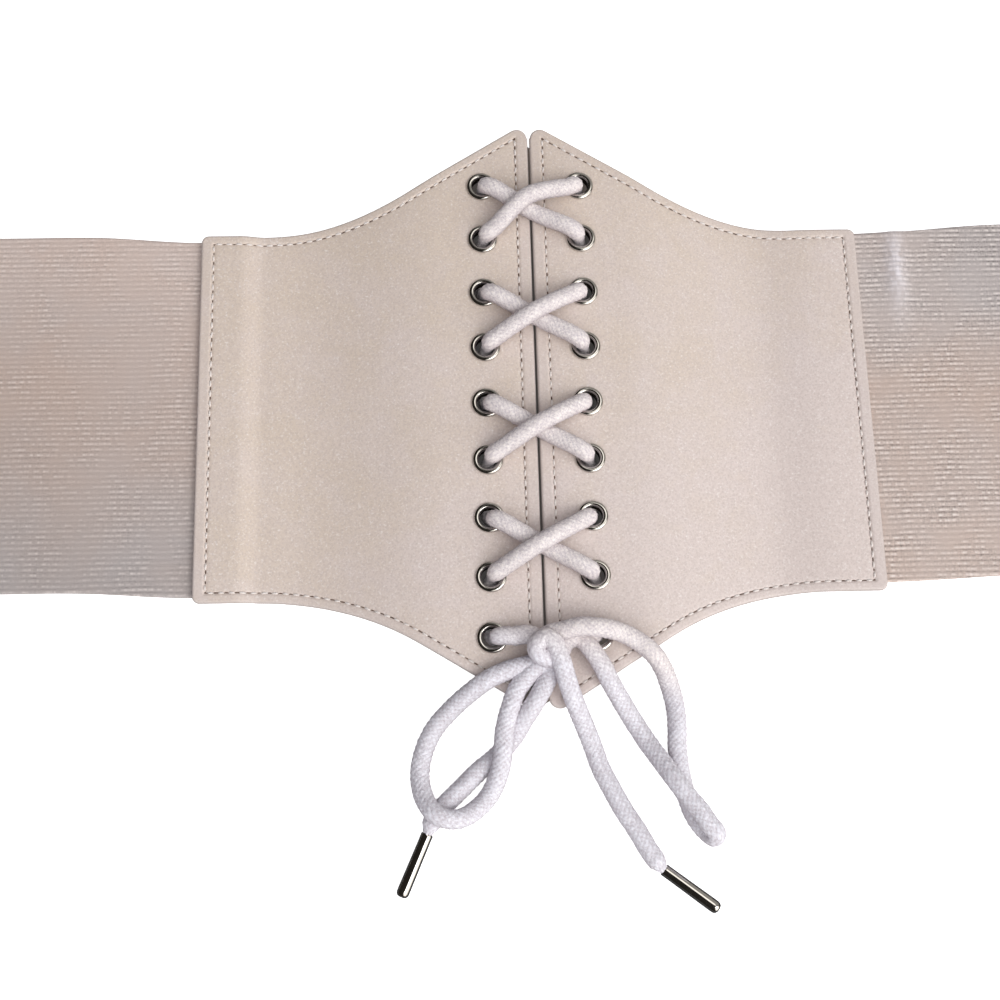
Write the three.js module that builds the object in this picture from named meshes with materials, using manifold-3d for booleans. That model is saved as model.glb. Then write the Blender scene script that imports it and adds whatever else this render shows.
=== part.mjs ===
// A wide corset belt, lying open and face up on a flat surface. Two mirrored leather
// panels are laced together down the middle, and a wide elastic band sewn under the
// outer edge of each panel runs out to a leather end tab with a hook-and-loop strip.
// Millimetres. +X runs along the belt, +Y to its top edge and +Z up from the surface.
// The origin is under the middle of the belt, on the surface that it lies on.

import * as THREE from 'three';
import { mergeVertices } from 'three/addons/utils/BufferGeometryUtils.js';
import Module from 'manifold-3d';

const wasm = await Module();
wasm.setup();

// Clearances
const GAP = 0.3;

// Leather panels
const BELT_HEIGHT = 205;
const SIDE_HEIGHT = 130;
const PANEL_WIDTH = 114.4;
const PANEL_WALL = 2.2;
const SLIT = 1.2;
const TIP_SLOPE = THREE.MathUtils.degToRad(31.8);
const TIP_ROUND = 3.5;
const SIDE_SWEEP = 100;
const CORNER_ROUND = 2.5;

// How the panels lie: raised over the lace in the middle, down on the surface further out
const RAISED_REACH = 30;
const REST_START = 85;
const STEP_RUN = 4;

// Elastic bands
const ELASTIC_WIDTH = 127;
const ELASTIC_THICKNESS = 1.3;
const ELASTIC_SHOWN = 175;
const ELASTIC_OVERLAP = 17;
const ELASTIC_OFFSET = 0.9;
const ELASTIC_RISE = 1.6;
const ELASTIC_RISE_RUN = 50;

// End tabs and their hook-and-loop strips
const TAB_WIDTH = 40;
const TAB_HEIGHT = 130;
const TAB_WALL = 2.2;
const TAB_OVERLAP = 15;
const STRIP_WIDTH = 18;
const STRIP_HEIGHT = 110;
const STRIP_THICKNESS = 1.3;
const STRIP_INSET = 3;

// Eyelets
const EYELET_ROWS = 9;
const ROW_MARGIN = 22.5;
const COLUMN_REACH = 17.1;
const BORE_RADIUS = 3.3;
const BARREL_WALL = 0.4;
const FLANGE_RADIUS = 5;
const FLANGE_THICKNESS = 0.7;
const FLANGE_ROUND = 0.4;
const WASHER_RADIUS = 4.7;
const WASHER_THICKNESS = 0.5;
const EYELET_SIDES = 12;

// Lace
const LACE_RADIUS = 2.5;
const CORD_RADIUS = 2.8;
const CORD_SIDES = 8;
const LACE_STEP = 3.2;
const CORD_STEP = 5.2;
const LOOP_STEP = 4;
const BACK_CLEARANCE = 0.5;
const LACE_BEND = 3.5;

// Bow knot
const KNOT_CENTRE = [0.5, -85.5, 16.6];
const KNOT_RADII = [8, 11, 7.3];

// Aglets
const AGLET_LENGTH = 20;
const AGLET_NECK_RADIUS = 1.65;
const AGLET_TIP_RADIUS = 2.1;
const AGLET_SIDES = 12;
const AGLET_SEAT = 0.8;

// Rows are spread evenly between the panels' tips
const ROW_PITCH = (BELT_HEIGHT - 2 * ROW_MARGIN) / (EYELET_ROWS - 1);

// Heights that follow from the sizes above
const BACK_RUN_HEIGHT = BACK_CLEARANCE + LACE_RADIUS;
const WASHER_BOTTOM = BACK_RUN_HEIGHT + LACE_RADIUS + BACK_CLEARANCE;
const RAISED_BOTTOM = WASHER_BOTTOM + WASHER_THICKNESS + GAP;
const RAISED_TOP = RAISED_BOTTOM + PANEL_WALL;
const FLANGE_TOP = RAISED_TOP + GAP + FLANGE_THICKNESS;
const BEND_TOP = FLANGE_TOP - GAP;
const BEND_BOTTOM = BACK_RUN_HEIGHT + LACE_BEND;
const FRONT_HEIGHT = BEND_TOP + LACE_BEND;
const LOWER_CROSSING = RAISED_TOP + GAP + LACE_RADIUS;
const UPPER_CROSSING = LOWER_CROSSING + 2 * LACE_RADIUS + GAP;
const OVER_ELASTIC = ELASTIC_THICKNESS + GAP;

// Places along X, measured from the middle
const INNER_EDGE = SLIT / 2;
const OUTER_EDGE = INNER_EDGE + PANEL_WIDTH;
const ELASTIC_INNER_END = OUTER_EDGE - ELASTIC_OVERLAP;
const TAB_INNER_EDGE = OUTER_EDGE + ELASTIC_SHOWN;
const TAB_OUTER_EDGE = TAB_INNER_EDGE + TAB_WIDTH;
const ELASTIC_OUTER_END = TAB_INNER_EDGE + TAB_OVERLAP;

// Free routes of the lace, chosen by hand for a lowest eyelet row at ROUTE_ROW. Each
// starts or ends inside the knot where it meets it, and the knot's clearance trims it.
const ROUTE_ROW = -80;
const STRAND_LEFT = [
  [-12.2, -79.4, 13.2], [-9, -79, 13.2], [-4.5, -80.5, 13.6], [0, -84, 14.5],
];
const STRAND_RIGHT = [
  [12.2, -80.6, 13.2], [9, -81, 13.2], [4.5, -82, 13.6], [0, -84.5, 14.5],
];
const LOOP_LEFT = [
  [0, -85.5, 16], [-6.5, -88, 15.5], [-13, -90.6, 13.4], [-18.5, -93.2, 12.3],
  [-23.5, -96.8, 9.6], [-30.8, -102.4, 5.2], [-36.7, -108.9, 3.2], [-40.2, -116.7, 3],
  [-41.1, -124, 3.4], [-39.6, -130.7, 6], [-35.8, -135.4, 9.1], [-29.9, -136.6, 8.2],
  [-24.1, -134.1, 5], [-19.6, -129.5, 4.2], [-16.3, -123.3, 6.8], [-14.4, -116.5, 9.2],
  [-13.8, -110.1, 9.8], [-12.6, -103.6, 11.2], [-9.5, -98.2, 12.7], [-5.5, -91.7, 13.4],
  [-0.6, -86.8, 14],
];
const END_LEFT = [
  [0.8, -92, 12.8], [0, -98.2, 12.5], [-3, -102.2, 12.7], [-6.6, -106.1, 9.2],
  [-11, -111.5, 4.2], [-16.4, -117.3, 3], [-22.3, -121.9, 3], [-27.5, -126.8, 3],
  [-32, -131.4, 3], [-36, -136.2, 3], [-37.9, -140.2, 2.9],
];
const LOOP_RIGHT = [
  [1, -82.6, 18], [5, -79.6, 18.8], [10.9, -78, 19.2], [17.4, -78.4, 18.2],
  [24.1, -80.1, 14.6], [29.6, -82.6, 12.5], [34.1, -86.3, 11.6], [37.6, -90.6, 7.8],
  [40, -95.8, 4.4], [41.7, -103.2, 3], [41.9, -110, 3], [42, -116, 3],
  [42.7, -122, 3], [43.3, -128.5, 3], [44, -135, 3], [46.4, -141.2, 3.2],
  [50.6, -145.4, 5.6], [51.4, -141.8, 9.1], [48.7, -136.6, 9.5], [44.6, -131.4, 9.4],
  [40.7, -126, 9], [37.3, -119.9, 6.2], [33.3, -114, 3.6], [29.1, -107.5, 3.6],
  [24.5, -101, 7], [20.3, -96.4, 11], [16.6, -91.8, 13.6], [13.6, -87.4, 16.8],
  [11.2, -84.6, 18.6], [4.2, -84.6, 17.6],
];
const END_RIGHT = [
  [1, -82, 18], [3.6, -87.5, 17.5], [5.8, -94.3, 15.2], [7.8, -100.6, 12.8],
  [11.1, -107.3, 7.6], [14.7, -115.2, 3.7], [16.5, -121.8, 3], [19.4, -128.2, 3],
  [23.2, -135.5, 3], [27.4, -142.1, 3], [31.5, -147.8, 3], [33.8, -151.4, 2.9],
];

// Directions in which the aglets point away from their lace ends
const AGLET_LEFT_HEADING = [-8.3, -18.7];
const AGLET_RIGHT_HEADING = [15.6, -12.6];

// Finishes
const leather = new THREE.MeshStandardMaterial({ color: 0xe3d8cf, roughness: 0.45, metalness: 0 });
const elastic = new THREE.MeshStandardMaterial({ color: 0xbcafa6, roughness: 0.8, metalness: 0 });
const nickel = new THREE.MeshStandardMaterial({ color: 0xb4b1ad, roughness: 0.22, metalness: 1 });
const cotton = new THREE.MeshStandardMaterial({ color: 0xe9e4e6, roughness: 0.9, metalness: 0 });
const pile = new THREE.MeshStandardMaterial({ color: 0xd8cfc6, roughness: 0.95, metalness: 0 });

const belt = new THREE.Group();

function addPiece(name, geometry, material) {
  const piece = new THREE.Mesh(geometry, material);
  piece.name = name;
  belt.add(piece);
  return piece;
}

// A geometry as a closed solid, and back again
function toSolid(geometry) {
  const bare = geometry.clone();
  bare.deleteAttribute('normal');
  bare.deleteAttribute('uv');
  const merged = mergeVertices(bare, 1e-4);
  return new wasm.Manifold(new wasm.Mesh({
    numProp: 3,
    vertProperties: merged.attributes.position.array,
    triVerts: new Uint32Array(merged.index.array),
  }));
}

function toGeometry(solid) {
  const mesh = solid.getMesh();
  const geometry = new THREE.BufferGeometry();
  geometry.setAttribute('position', new THREE.BufferAttribute(mesh.vertProperties, 3));
  geometry.setIndex(new THREE.BufferAttribute(mesh.triVerts, 1));
  return geometry;
}

function extrudeUp(shape, bottom, top) {
  const slab = new THREE.ExtrudeGeometry(shape, { depth: top - bottom, bevelEnabled: false });
  slab.translate(0, 0, bottom);
  return slab;
}

// A wall whose section in X and Z is given, extruded across the belt's height
function extrudeAcross(section, height) {
  const wall = new THREE.ExtrudeGeometry(section, { depth: height, bevelEnabled: false });
  wall.rotateX(Math.PI / 2);
  wall.translate(0, height / 2, 0);
  return wall;
}

function arcPoints(centre, radius, from, to, steps) {
  const points = [];
  for (let i = 0; i <= steps; i += 1) {
    const angle = from + ((to - from) * i) / steps;
    points.push([centre[0] + radius * Math.cos(angle), centre[1] + radius * Math.sin(angle)]);
  }
  return points;
}

function shapeFrom(points) {
  return new THREE.Shape(points.map(([x, y]) => new THREE.Vector2(x, y)));
}

function polygonPath(centre, radius, sides) {
  const points = arcPoints(centre, radius, 0, 2 * Math.PI, sides).slice(0, sides);
  return new THREE.Path(points.map(([x, y]) => new THREE.Vector2(x, y)));
}

// 0 up to the start, 1 past the end, with a smooth wave between them
function ease(value, start, end) {
  const share = THREE.MathUtils.clamp((value - start) / (end - start), 0, 1);
  return (1 - Math.cos(Math.PI * share)) / 2;
}

function rowHeight(row) {
  return ((EYELET_ROWS + 1) / 2 - row) * ROW_PITCH;
}

function eyeletPlace(side, row) {
  return [side * COLUMN_REACH, rowHeight(row)];
}

// The bow's places move with the lowest row of eyelets
function withLowestRow([x, y, z]) {
  return [x, y - ROUTE_ROW + rowHeight(EYELET_ROWS), z];
}

// Upper half of a panel's outline: rounded tip, sloping edge, sweep and side corner
function upperOutline() {
  const sine = Math.sin(TIP_SLOPE);
  const cosine = Math.cos(TIP_SLOPE);
  const tipX = INNER_EDGE + TIP_ROUND;
  const tipY = BELT_HEIGHT / 2 - TIP_ROUND;
  const sharpTip = (tipX * sine + tipY * cosine + TIP_ROUND) / cosine;
  const side = SIDE_HEIGHT / 2;
  const sweepX = (SIDE_SWEEP * (1 - cosine) + (sharpTip - side) * cosine) / sine;
  const sweepStart = -Math.PI / 2 - TIP_SLOPE;
  const corner = [OUTER_EDGE - CORNER_ROUND, side - CORNER_ROUND];
  return [
    ...arcPoints([tipX, tipY], TIP_ROUND, Math.PI, Math.PI / 2 - TIP_SLOPE, 5),
    ...arcPoints([sweepX, side + SIDE_SWEEP], SIDE_SWEEP, sweepStart, -Math.PI / 2, 7),
    ...arcPoints(corner, CORNER_ROUND, Math.PI / 2, 0, 3),
  ];
}

function panelOutline(side) {
  const upper = upperOutline();
  const lower = upper.map(([x, y]) => [x, -y]).reverse();
  const outline = shapeFrom([...upper, ...lower].map(([x, y]) => [side * x, y]));
  const holeRadius = BORE_RADIUS + BARREL_WALL + GAP;
  for (let row = 1; row <= EYELET_ROWS; row += 1) {
    outline.holes.push(polygonPath(eyeletPlace(side, row), holeRadius, EYELET_SIDES));
  }
  return outline;
}

// Height of the panel's underside at each distance from the middle
function panelUnderside(x) {
  const settled = RAISED_BOTTOM * (1 - ease(x, RAISED_REACH, REST_START));
  const stepEnd = ELASTIC_INNER_END - GAP;
  return settled + OVER_ELASTIC * ease(x, stepEnd - STEP_RUN, stepEnd);
}

function panelSection(side) {
  const slopeStations = 9;
  const stations = [INNER_EDGE];
  for (let i = 0; i <= slopeStations; i += 1) {
    stations.push(RAISED_REACH + ((REST_START - RAISED_REACH) * i) / slopeStations);
  }
  const stepEnd = ELASTIC_INNER_END - GAP;
  stations.push(stepEnd - STEP_RUN, stepEnd - STEP_RUN / 2, stepEnd, OUTER_EDGE);
  const under = stations.map((x) => [side * x, panelUnderside(x)]);
  const over = under.map(([x, z]) => [x, z + PANEL_WALL]).reverse();
  return shapeFrom([...under, ...over]);
}

function makePanel(side) {
  const wall = toSolid(extrudeAcross(panelSection(side), BELT_HEIGHT + 2));
  const cut = toSolid(extrudeUp(panelOutline(side), -1, RAISED_TOP + 1));
  return toGeometry(wall.intersect(cut));
}

// Middle of the elastic's height, which drifts a little to the top past the panel
function elasticMiddle(x) {
  return ELASTIC_OFFSET + ELASTIC_RISE * ease(x, OUTER_EDGE, OUTER_EDGE + ELASTIC_RISE_RUN);
}

function makeElastic(side) {
  const stations = [ELASTIC_INNER_END];
  const curveStations = 5;
  for (let i = 0; i <= curveStations; i += 1) {
    stations.push(OUTER_EDGE + (ELASTIC_RISE_RUN * i) / curveStations);
  }
  stations.push(ELASTIC_OUTER_END);
  const top = stations.map((x) => [side * x, elasticMiddle(x) + ELASTIC_WIDTH / 2]);
  const bottom = stations.map((x) => [side * x, elasticMiddle(x) - ELASTIC_WIDTH / 2]);
  return extrudeUp(shapeFrom([...top, ...bottom.reverse()]), 0, ELASTIC_THICKNESS);
}

// An upright rectangle with rounded corners
function roundedRectangle(left, right, middle, height, round) {
  const top = middle + height / 2 - round;
  const bottom = middle - height / 2 + round;
  return shapeFrom([
    ...arcPoints([right - round, top], round, 0, Math.PI / 2, 3),
    ...arcPoints([left + round, top], round, Math.PI / 2, Math.PI, 3),
    ...arcPoints([left + round, bottom], round, Math.PI, 1.5 * Math.PI, 3),
    ...arcPoints([right - round, bottom], round, 1.5 * Math.PI, 2 * Math.PI, 3),
  ]);
}

// A tab lies over the elastic's end. The outer part stays raised over the strip
// beneath it, or drops to the surface where the strip is on top.
function makeTab(side, stripBeneath) {
  const clear = ELASTIC_OUTER_END + GAP;
  const outer = stripBeneath ? STRIP_THICKNESS + GAP : 0;
  const under = [
    [TAB_INNER_EDGE, OVER_ELASTIC], [clear, OVER_ELASTIC],
    [clear + STEP_RUN, outer], [TAB_OUTER_EDGE, outer],
  ];
  const over = under.map(([x, z]) => [x, z + TAB_WALL]).reverse();
  const section = [...under, ...over].map(([x, z]) => [side * x, z]);
  const middle = elasticMiddle(TAB_INNER_EDGE);
  const edges = [side * TAB_INNER_EDGE, side * TAB_OUTER_EDGE].sort((a, b) => a - b);
  const outline = roundedRectangle(...edges, middle, TAB_HEIGHT, CORNER_ROUND);
  const wall = toSolid(extrudeAcross(shapeFrom(section), 2 * TAB_HEIGHT));
  const cut = toSolid(extrudeUp(outline, -1, OVER_ELASTIC + TAB_WALL + 2));
  return toGeometry(wall.intersect(cut));
}

function makeStrip(side, bottom) {
  const edges = [
    side * (TAB_OUTER_EDGE - STRIP_INSET),
    side * (TAB_OUTER_EDGE - STRIP_INSET - STRIP_WIDTH),
  ].sort((a, b) => a - b);
  const middle = elasticMiddle(TAB_INNER_EDGE);
  const outline = roundedRectangle(...edges, middle, STRIP_HEIGHT, CORNER_ROUND);
  return extrudeUp(outline, bottom, bottom + STRIP_THICKNESS);
}

// One eyelet: rolled flange on the face, barrel through the leather, washer behind
function makeEyelet() {
  const barrel = BORE_RADIUS + BARREL_WALL;
  const profile = [
    [BORE_RADIUS, WASHER_BOTTOM],
    [WASHER_RADIUS, WASHER_BOTTOM],
    [WASHER_RADIUS, WASHER_BOTTOM + WASHER_THICKNESS],
    [barrel, WASHER_BOTTOM + WASHER_THICKNESS],
    [barrel, RAISED_TOP + GAP],
    [FLANGE_RADIUS, RAISED_TOP + GAP],
    [FLANGE_RADIUS - FLANGE_ROUND, FLANGE_TOP],
    [BORE_RADIUS + FLANGE_ROUND, FLANGE_TOP],
    [BORE_RADIUS, FLANGE_TOP - FLANGE_ROUND],
    [BORE_RADIUS, WASHER_BOTTOM],
  ].map(([radius, height]) => new THREE.Vector2(radius, height));
  const turned = new THREE.LatheGeometry(profile, EYELET_SIDES);
  turned.rotateX(Math.PI / 2);
  return turned;
}

function circleSection(radius) {
  return new THREE.Shape(polygonPath([0, 0], radius, CORD_SIDES).getPoints());
}

function curveThrough(points) {
  const vectors = points.map(([x, y, z]) => new THREE.Vector3(x, y, z));
  return new THREE.CatmullRomCurve3(vectors, false, 'centripetal');
}

function makeTube(points, radius, step) {
  const curve = curveThrough(points);
  const steps = Math.round(curve.getLength() / step);
  return new THREE.ExtrudeGeometry(circleSection(radius), {
    steps, bevelEnabled: false, extrudePath: curve,
  });
}

function unitToward(from, to) {
  const length = Math.hypot(to[0] - from[0], to[1] - from[1]);
  return [(to[0] - from[0]) / length, (to[1] - from[1]) / length];
}

// The lace's way up through an eyelet, from its run behind the panel to the front
function eyeletPass(place, behind, front) {
  const bend = LACE_BEND * (1 - Math.SQRT1_2);
  const arch = LACE_BEND * Math.SQRT1_2;
  const back = unitToward(place, behind);
  const ahead = unitToward(place, front);
  const at = (heading, reach, height) => [
    place[0] + heading[0] * reach, place[1] + heading[1] * reach, height,
  ];
  return [
    at(back, LACE_BEND, BACK_RUN_HEIGHT),
    at(back, bend, BEND_BOTTOM - arch),
    at(back, 0, BEND_BOTTOM),
    at(ahead, 0, BEND_TOP),
    at(ahead, bend, BEND_TOP + arch),
    at(ahead, LACE_BEND, FRONT_HEIGHT),
  ];
}

// Halfway along a run behind the panels
function backMiddle(from, to) {
  return [(from[0] + to[0]) / 2, (from[1] + to[1]) / 2, BACK_RUN_HEIGHT];
}

// The lace crosses in front between rows 1 and 2, 3 and 4 and so on, and runs behind
// the panels between rows 2 and 3, 4 and 5 and so on. A bar behind joins the top two.
// In each cross the strand from the upper right to the lower left lies on top.
function lacingHalf(side) {
  const route = [];
  let column = side;
  for (let row = 1; row < EYELET_ROWS; row += 2) {
    const upper = eyeletPlace(column, row);
    const lower = eyeletPlace(-column, row + 1);
    const behindUpper = row === 1 ? eyeletPlace(-column, row) : eyeletPlace(column, row - 1);
    const behindLower = eyeletPlace(-column, row + 2);
    const crossing = column > 0 ? UPPER_CROSSING : LOWER_CROSSING;
    route.push(backMiddle(upper, behindUpper));
    route.push(...eyeletPass(upper, behindUpper, lower));
    route.push([0, (upper[1] + lower[1]) / 2, crossing]);
    route.push(...eyeletPass(lower, behindLower, upper).reverse());
    column = -column;
  }
  const last = eyeletPlace(column, EYELET_ROWS);
  const above = eyeletPlace(column, EYELET_ROWS - 1);
  const free = column > 0 ? STRAND_RIGHT : STRAND_LEFT;
  const ahead = withLowestRow(free[1]);
  route.push(backMiddle(last, above), ...eyeletPass(last, above, ahead));
  return route;
}

function makeLacing() {
  const route = [...lacingHalf(1).reverse(), ...lacingHalf(-1).slice(1)];
  return makeTube(route, LACE_RADIUS, LACE_STEP);
}

function makeKnot(clearance) {
  const knot = new THREE.SphereGeometry(1, 12, 8);
  knot.scale(...KNOT_RADII.map((radius) => radius + clearance));
  knot.translate(...withLowestRow(KNOT_CENTRE));
  return knot;
}

// A free strand of the lace, trimmed clear of the knot
function makeStrand(points, step) {
  const tube = toSolid(makeTube(points.map(withLowestRow), CORD_RADIUS, step));
  return toGeometry(tube.subtract(toSolid(makeKnot(GAP))));
}

// An aglet is a plain tapered sleeve with a rounded tip, past the end of its lace
function makeAglet(end, heading) {
  const profile = [
    [0, 0], [AGLET_NECK_RADIUS, 0], [AGLET_TIP_RADIUS, AGLET_LENGTH * 0.85],
    [AGLET_TIP_RADIUS * 0.8, AGLET_LENGTH * 0.96], [0, AGLET_LENGTH],
  ].map(([radius, along]) => new THREE.Vector2(radius, along));
  const sleeve = new THREE.LatheGeometry(profile, AGLET_SIDES);
  const direction = new THREE.Vector3(heading[0], heading[1], 0).normalize();
  sleeve.rotateZ(-Math.PI / 2);
  sleeve.rotateZ(Math.atan2(direction.y, direction.x));
  const [endX, endY] = withLowestRow(end);
  const seat = [endX + direction.x * AGLET_SEAT, endY + direction.y * AGLET_SEAT];
  sleeve.translate(seat[0], seat[1], AGLET_TIP_RADIUS + GAP);
  return sleeve;
}

for (const [name, side] of [['left', -1], ['right', 1]]) {
  addPiece(`panel_${name}`, makePanel(side), leather);
  addPiece(`elastic_${name}`, makeElastic(side), elastic);
  addPiece(`end_tab_${name}`, makeTab(side, side < 0), leather);
  for (let row = 1; row <= EYELET_ROWS; row += 1) {
    const eyelet = addPiece(`eyelet_${name}_${row}`, makeEyelet(), nickel);
    const [x, y] = eyeletPlace(side, row);
    eyelet.position.set(x, y, 0);
  }
}

addPiece('closure_hook_strip', makeStrip(-1, 0), pile);
addPiece('closure_loop_strip', makeStrip(1, TAB_WALL + GAP), pile);

addPiece('lacing', makeLacing(), cotton);
addPiece('bow_knot', makeKnot(0), cotton);
addPiece('strand_left', makeStrand(STRAND_LEFT, CORD_STEP), cotton);
addPiece('strand_right', makeStrand(STRAND_RIGHT, CORD_STEP), cotton);
addPiece('loop_left', makeStrand(LOOP_LEFT, CORD_STEP), cotton);
addPiece('loop_right', makeStrand(LOOP_RIGHT, LOOP_STEP), cotton);
addPiece('lace_end_left', makeStrand(END_LEFT, CORD_STEP), cotton);
addPiece('lace_end_right', makeStrand(END_RIGHT, CORD_STEP), cotton);
addPiece('aglet_left', makeAglet(END_LEFT.at(-1), AGLET_LEFT_HEADING), nickel);
addPiece('aglet_right', makeAglet(END_RIGHT.at(-1), AGLET_RIGHT_HEADING), nickel);

export default belt;
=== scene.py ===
"""A wide lace-up corset belt, lying open and face up, dressed around its fixed frame.

Metres. +X runs along the belt, +Y to its top edge and +Z up from the surface it lies on.
"""

import math

import bpy
import numpy as np
from mathutils import Matrix, Vector


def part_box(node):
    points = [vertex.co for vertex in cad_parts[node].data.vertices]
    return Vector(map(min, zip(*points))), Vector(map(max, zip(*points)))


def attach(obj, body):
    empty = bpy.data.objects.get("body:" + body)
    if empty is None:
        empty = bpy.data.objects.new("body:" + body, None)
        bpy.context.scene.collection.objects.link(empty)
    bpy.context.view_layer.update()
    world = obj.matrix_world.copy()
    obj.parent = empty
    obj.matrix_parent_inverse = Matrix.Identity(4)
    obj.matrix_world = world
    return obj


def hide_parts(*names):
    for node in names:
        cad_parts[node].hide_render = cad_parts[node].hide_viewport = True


bl_info = {
    "name": "Corset Belt Workshop",
    "version": (1, 0, 0),
    "blender": (4, 5, 0),
    "location": "3D View > Sidebar > Belt",
    "description": "Makes a laced corset belt of leather, woven elastic, braided cord and metal",
    "category": "Object",
}

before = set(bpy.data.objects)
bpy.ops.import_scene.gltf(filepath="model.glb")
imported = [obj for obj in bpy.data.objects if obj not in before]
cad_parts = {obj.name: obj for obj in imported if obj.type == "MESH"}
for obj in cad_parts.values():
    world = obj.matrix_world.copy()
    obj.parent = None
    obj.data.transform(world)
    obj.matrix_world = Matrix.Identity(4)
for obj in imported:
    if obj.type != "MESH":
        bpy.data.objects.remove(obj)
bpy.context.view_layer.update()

MM = 0.001
CLEARANCE = 0.3 * MM

# Leather panels: edges and heights come from the frame, curves from the belt's pattern
PANEL_LOW, PANEL_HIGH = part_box("panel_right")
INNER_EDGE, OUTER_EDGE = PANEL_LOW[0], PANEL_HIGH[0]
PANEL_PEAK, PANEL_TOP = PANEL_HIGH[1], PANEL_HIGH[2]
PANEL_WALL = 2.2 * MM
SIDE_HALF = 65 * MM
TIP_SLOPE = math.radians(31.8)
TIP_ROUND = 3.5 * MM
SIDE_SWEEP = 100 * MM
CORNER_ROUND = 2.5 * MM
RAISED_REACH = 30 * MM
REST_START = 85 * MM
STEP_RUN = 4 * MM
STEP_RUNS = {"left": 9 * MM, "right": 26 * MM}
FRONT_DROP = 0.7 * MM
EDGE_SWELL = 0.25 * MM
EDGE_LINES = np.array([
    0, 0.1, 0.3, 0.55, 0.85, 1.15, 1.6, 2.1, 2.6, 3.0, 3.3, 3.6, 3.9, 4.2, 4.5, 4.8, 5.2, 5.8, 6.6,
]) * MM

# Elastic bands
ELASTIC_LOW, ELASTIC_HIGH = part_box("elastic_right")
ELASTIC_TOP = ELASTIC_HIGH[2]
ELASTIC_OFFSET = 0.9 * MM
ELASTIC_RISE = 1.6 * MM
ELASTIC_RISE_RUN = 50 * MM
ELASTIC_HALF = ELASTIC_HIGH[1] - ELASTIC_OFFSET - ELASTIC_RISE
OVER_ELASTIC = ELASTIC_TOP + CLEARANCE
STEP_END = ELASTIC_LOW[0] - CLEARANCE

# End tabs
TAB_LOW, TAB_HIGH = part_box("end_tab_right")
TAB_INNER, TAB_OUTER = TAB_LOW[0], TAB_HIGH[0]

# Eyelets and the lace's heights at them
EYELET_ROWS = 9
BORE_RADIUS = 3.3 * MM
LACE_RADIUS = 2.5 * MM
CORD_RADIUS = 3.15 * MM
LACE_BEND = 3.5 * MM
LACING_STEP = 0.45 * MM
CORD_STEP = 0.38 * MM
JOINT_TAPER = 0.5 * MM
BACK_RUN_HEIGHT = 3.0 * MM
BEND_BOTTOM = BACK_RUN_HEIGHT + LACE_BEND
FLANGE_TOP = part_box("eyelet_right_1")[1][2]
WASHER_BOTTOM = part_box("eyelet_right_1")[0][2]
BEND_TOP = FLANGE_TOP - CLEARANCE
FRONT_HEIGHT = BEND_TOP + LACE_BEND
LOWER_CROSSING = PANEL_TOP + CLEARANCE + LACE_RADIUS
UPPER_CROSSING = LOWER_CROSSING + 2 * LACE_RADIUS + CLEARANCE

# Routes of the two free cords. The first leaves the lowest left eyelet,
# makes the left loop and ends at the right aglet. The second goes the other way.
STRAND_LEFT = [
    (-0.0130, -0.0805, 0.0132), (-0.0096, -0.0803, 0.0134), (-0.0058, -0.0801, 0.0138),
]
KNOT_LEFT_ENTRY = [
    (-0.0017, -0.0822, 0.0132), (0.0002, -0.0853, 0.0126), (-0.0018, -0.0885, 0.0124),
]
LOOP_LEFT = [
    (-0.0060, -0.0897, 0.0124), (-0.0099, -0.0906, 0.0126), (-0.0143, -0.0919, 0.0126),
    (-0.0187, -0.0938, 0.0121), (-0.0235, -0.0968, 0.0096), (-0.0308, -0.1024, 0.0052),
    (-0.0367, -0.1089, 0.0034), (-0.0402, -0.1167, 0.0033), (-0.0411, -0.124, 0.0036),
    (-0.0396, -0.1307, 0.006), (-0.0358, -0.1358, 0.0091), (-0.0300, -0.1372, 0.0082),
    (-0.0245, -0.1348, 0.005), (-0.0194, -0.1300, 0.0042), (-0.0162, -0.1236, 0.0068),
    (-0.0146, -0.1165, 0.0092), (-0.0140, -0.1101, 0.0098), (-0.0127, -0.1050, 0.0110),
    (-0.0116, -0.1018, 0.0120), (-0.0098, -0.0976, 0.0126), (-0.0068, -0.0937, 0.0128),
]
KNOT_OVER_TOP = [
    (-0.0035, -0.0907, 0.0130), (-0.0004, -0.0890, 0.0138), (0.0013, -0.0884, 0.0156),
    (-0.0002, -0.0882, 0.0176), (-0.0024, -0.0874, 0.0187), (-0.0036, -0.0855, 0.0193),
    (-0.0026, -0.0834, 0.0199), (-0.0004, -0.0824, 0.0203), (0.0016, -0.0835, 0.0204),
    (0.0029, -0.0863, 0.0198),
]
END_RIGHT = [
    (0.0044, -0.0903, 0.0188), (0.0058, -0.0951, 0.0168), (0.0079, -0.1006, 0.0132),
    (0.0111, -0.1073, 0.0076), (0.0144, -0.1152, 0.0040), (0.0166, -0.1218, 0.0033),
    (0.0197, -0.1282, 0.0033), (0.0235, -0.1355, 0.0033), (0.0276, -0.1421, 0.0033),
    (0.0313, -0.1487, 0.0033), (0.0347, -0.1534, 0.0030),
]
STRAND_RIGHT = [
    (0.0130, -0.0805, 0.0132), (0.009, -0.0812, 0.0132), (0.0045, -0.0818, 0.0134),
]
KNOT_TURN = [
    (0.0010, -0.0824, 0.0136), (-0.0006, -0.0814, 0.0152), (0.0014, -0.0802, 0.0162),
]
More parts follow.
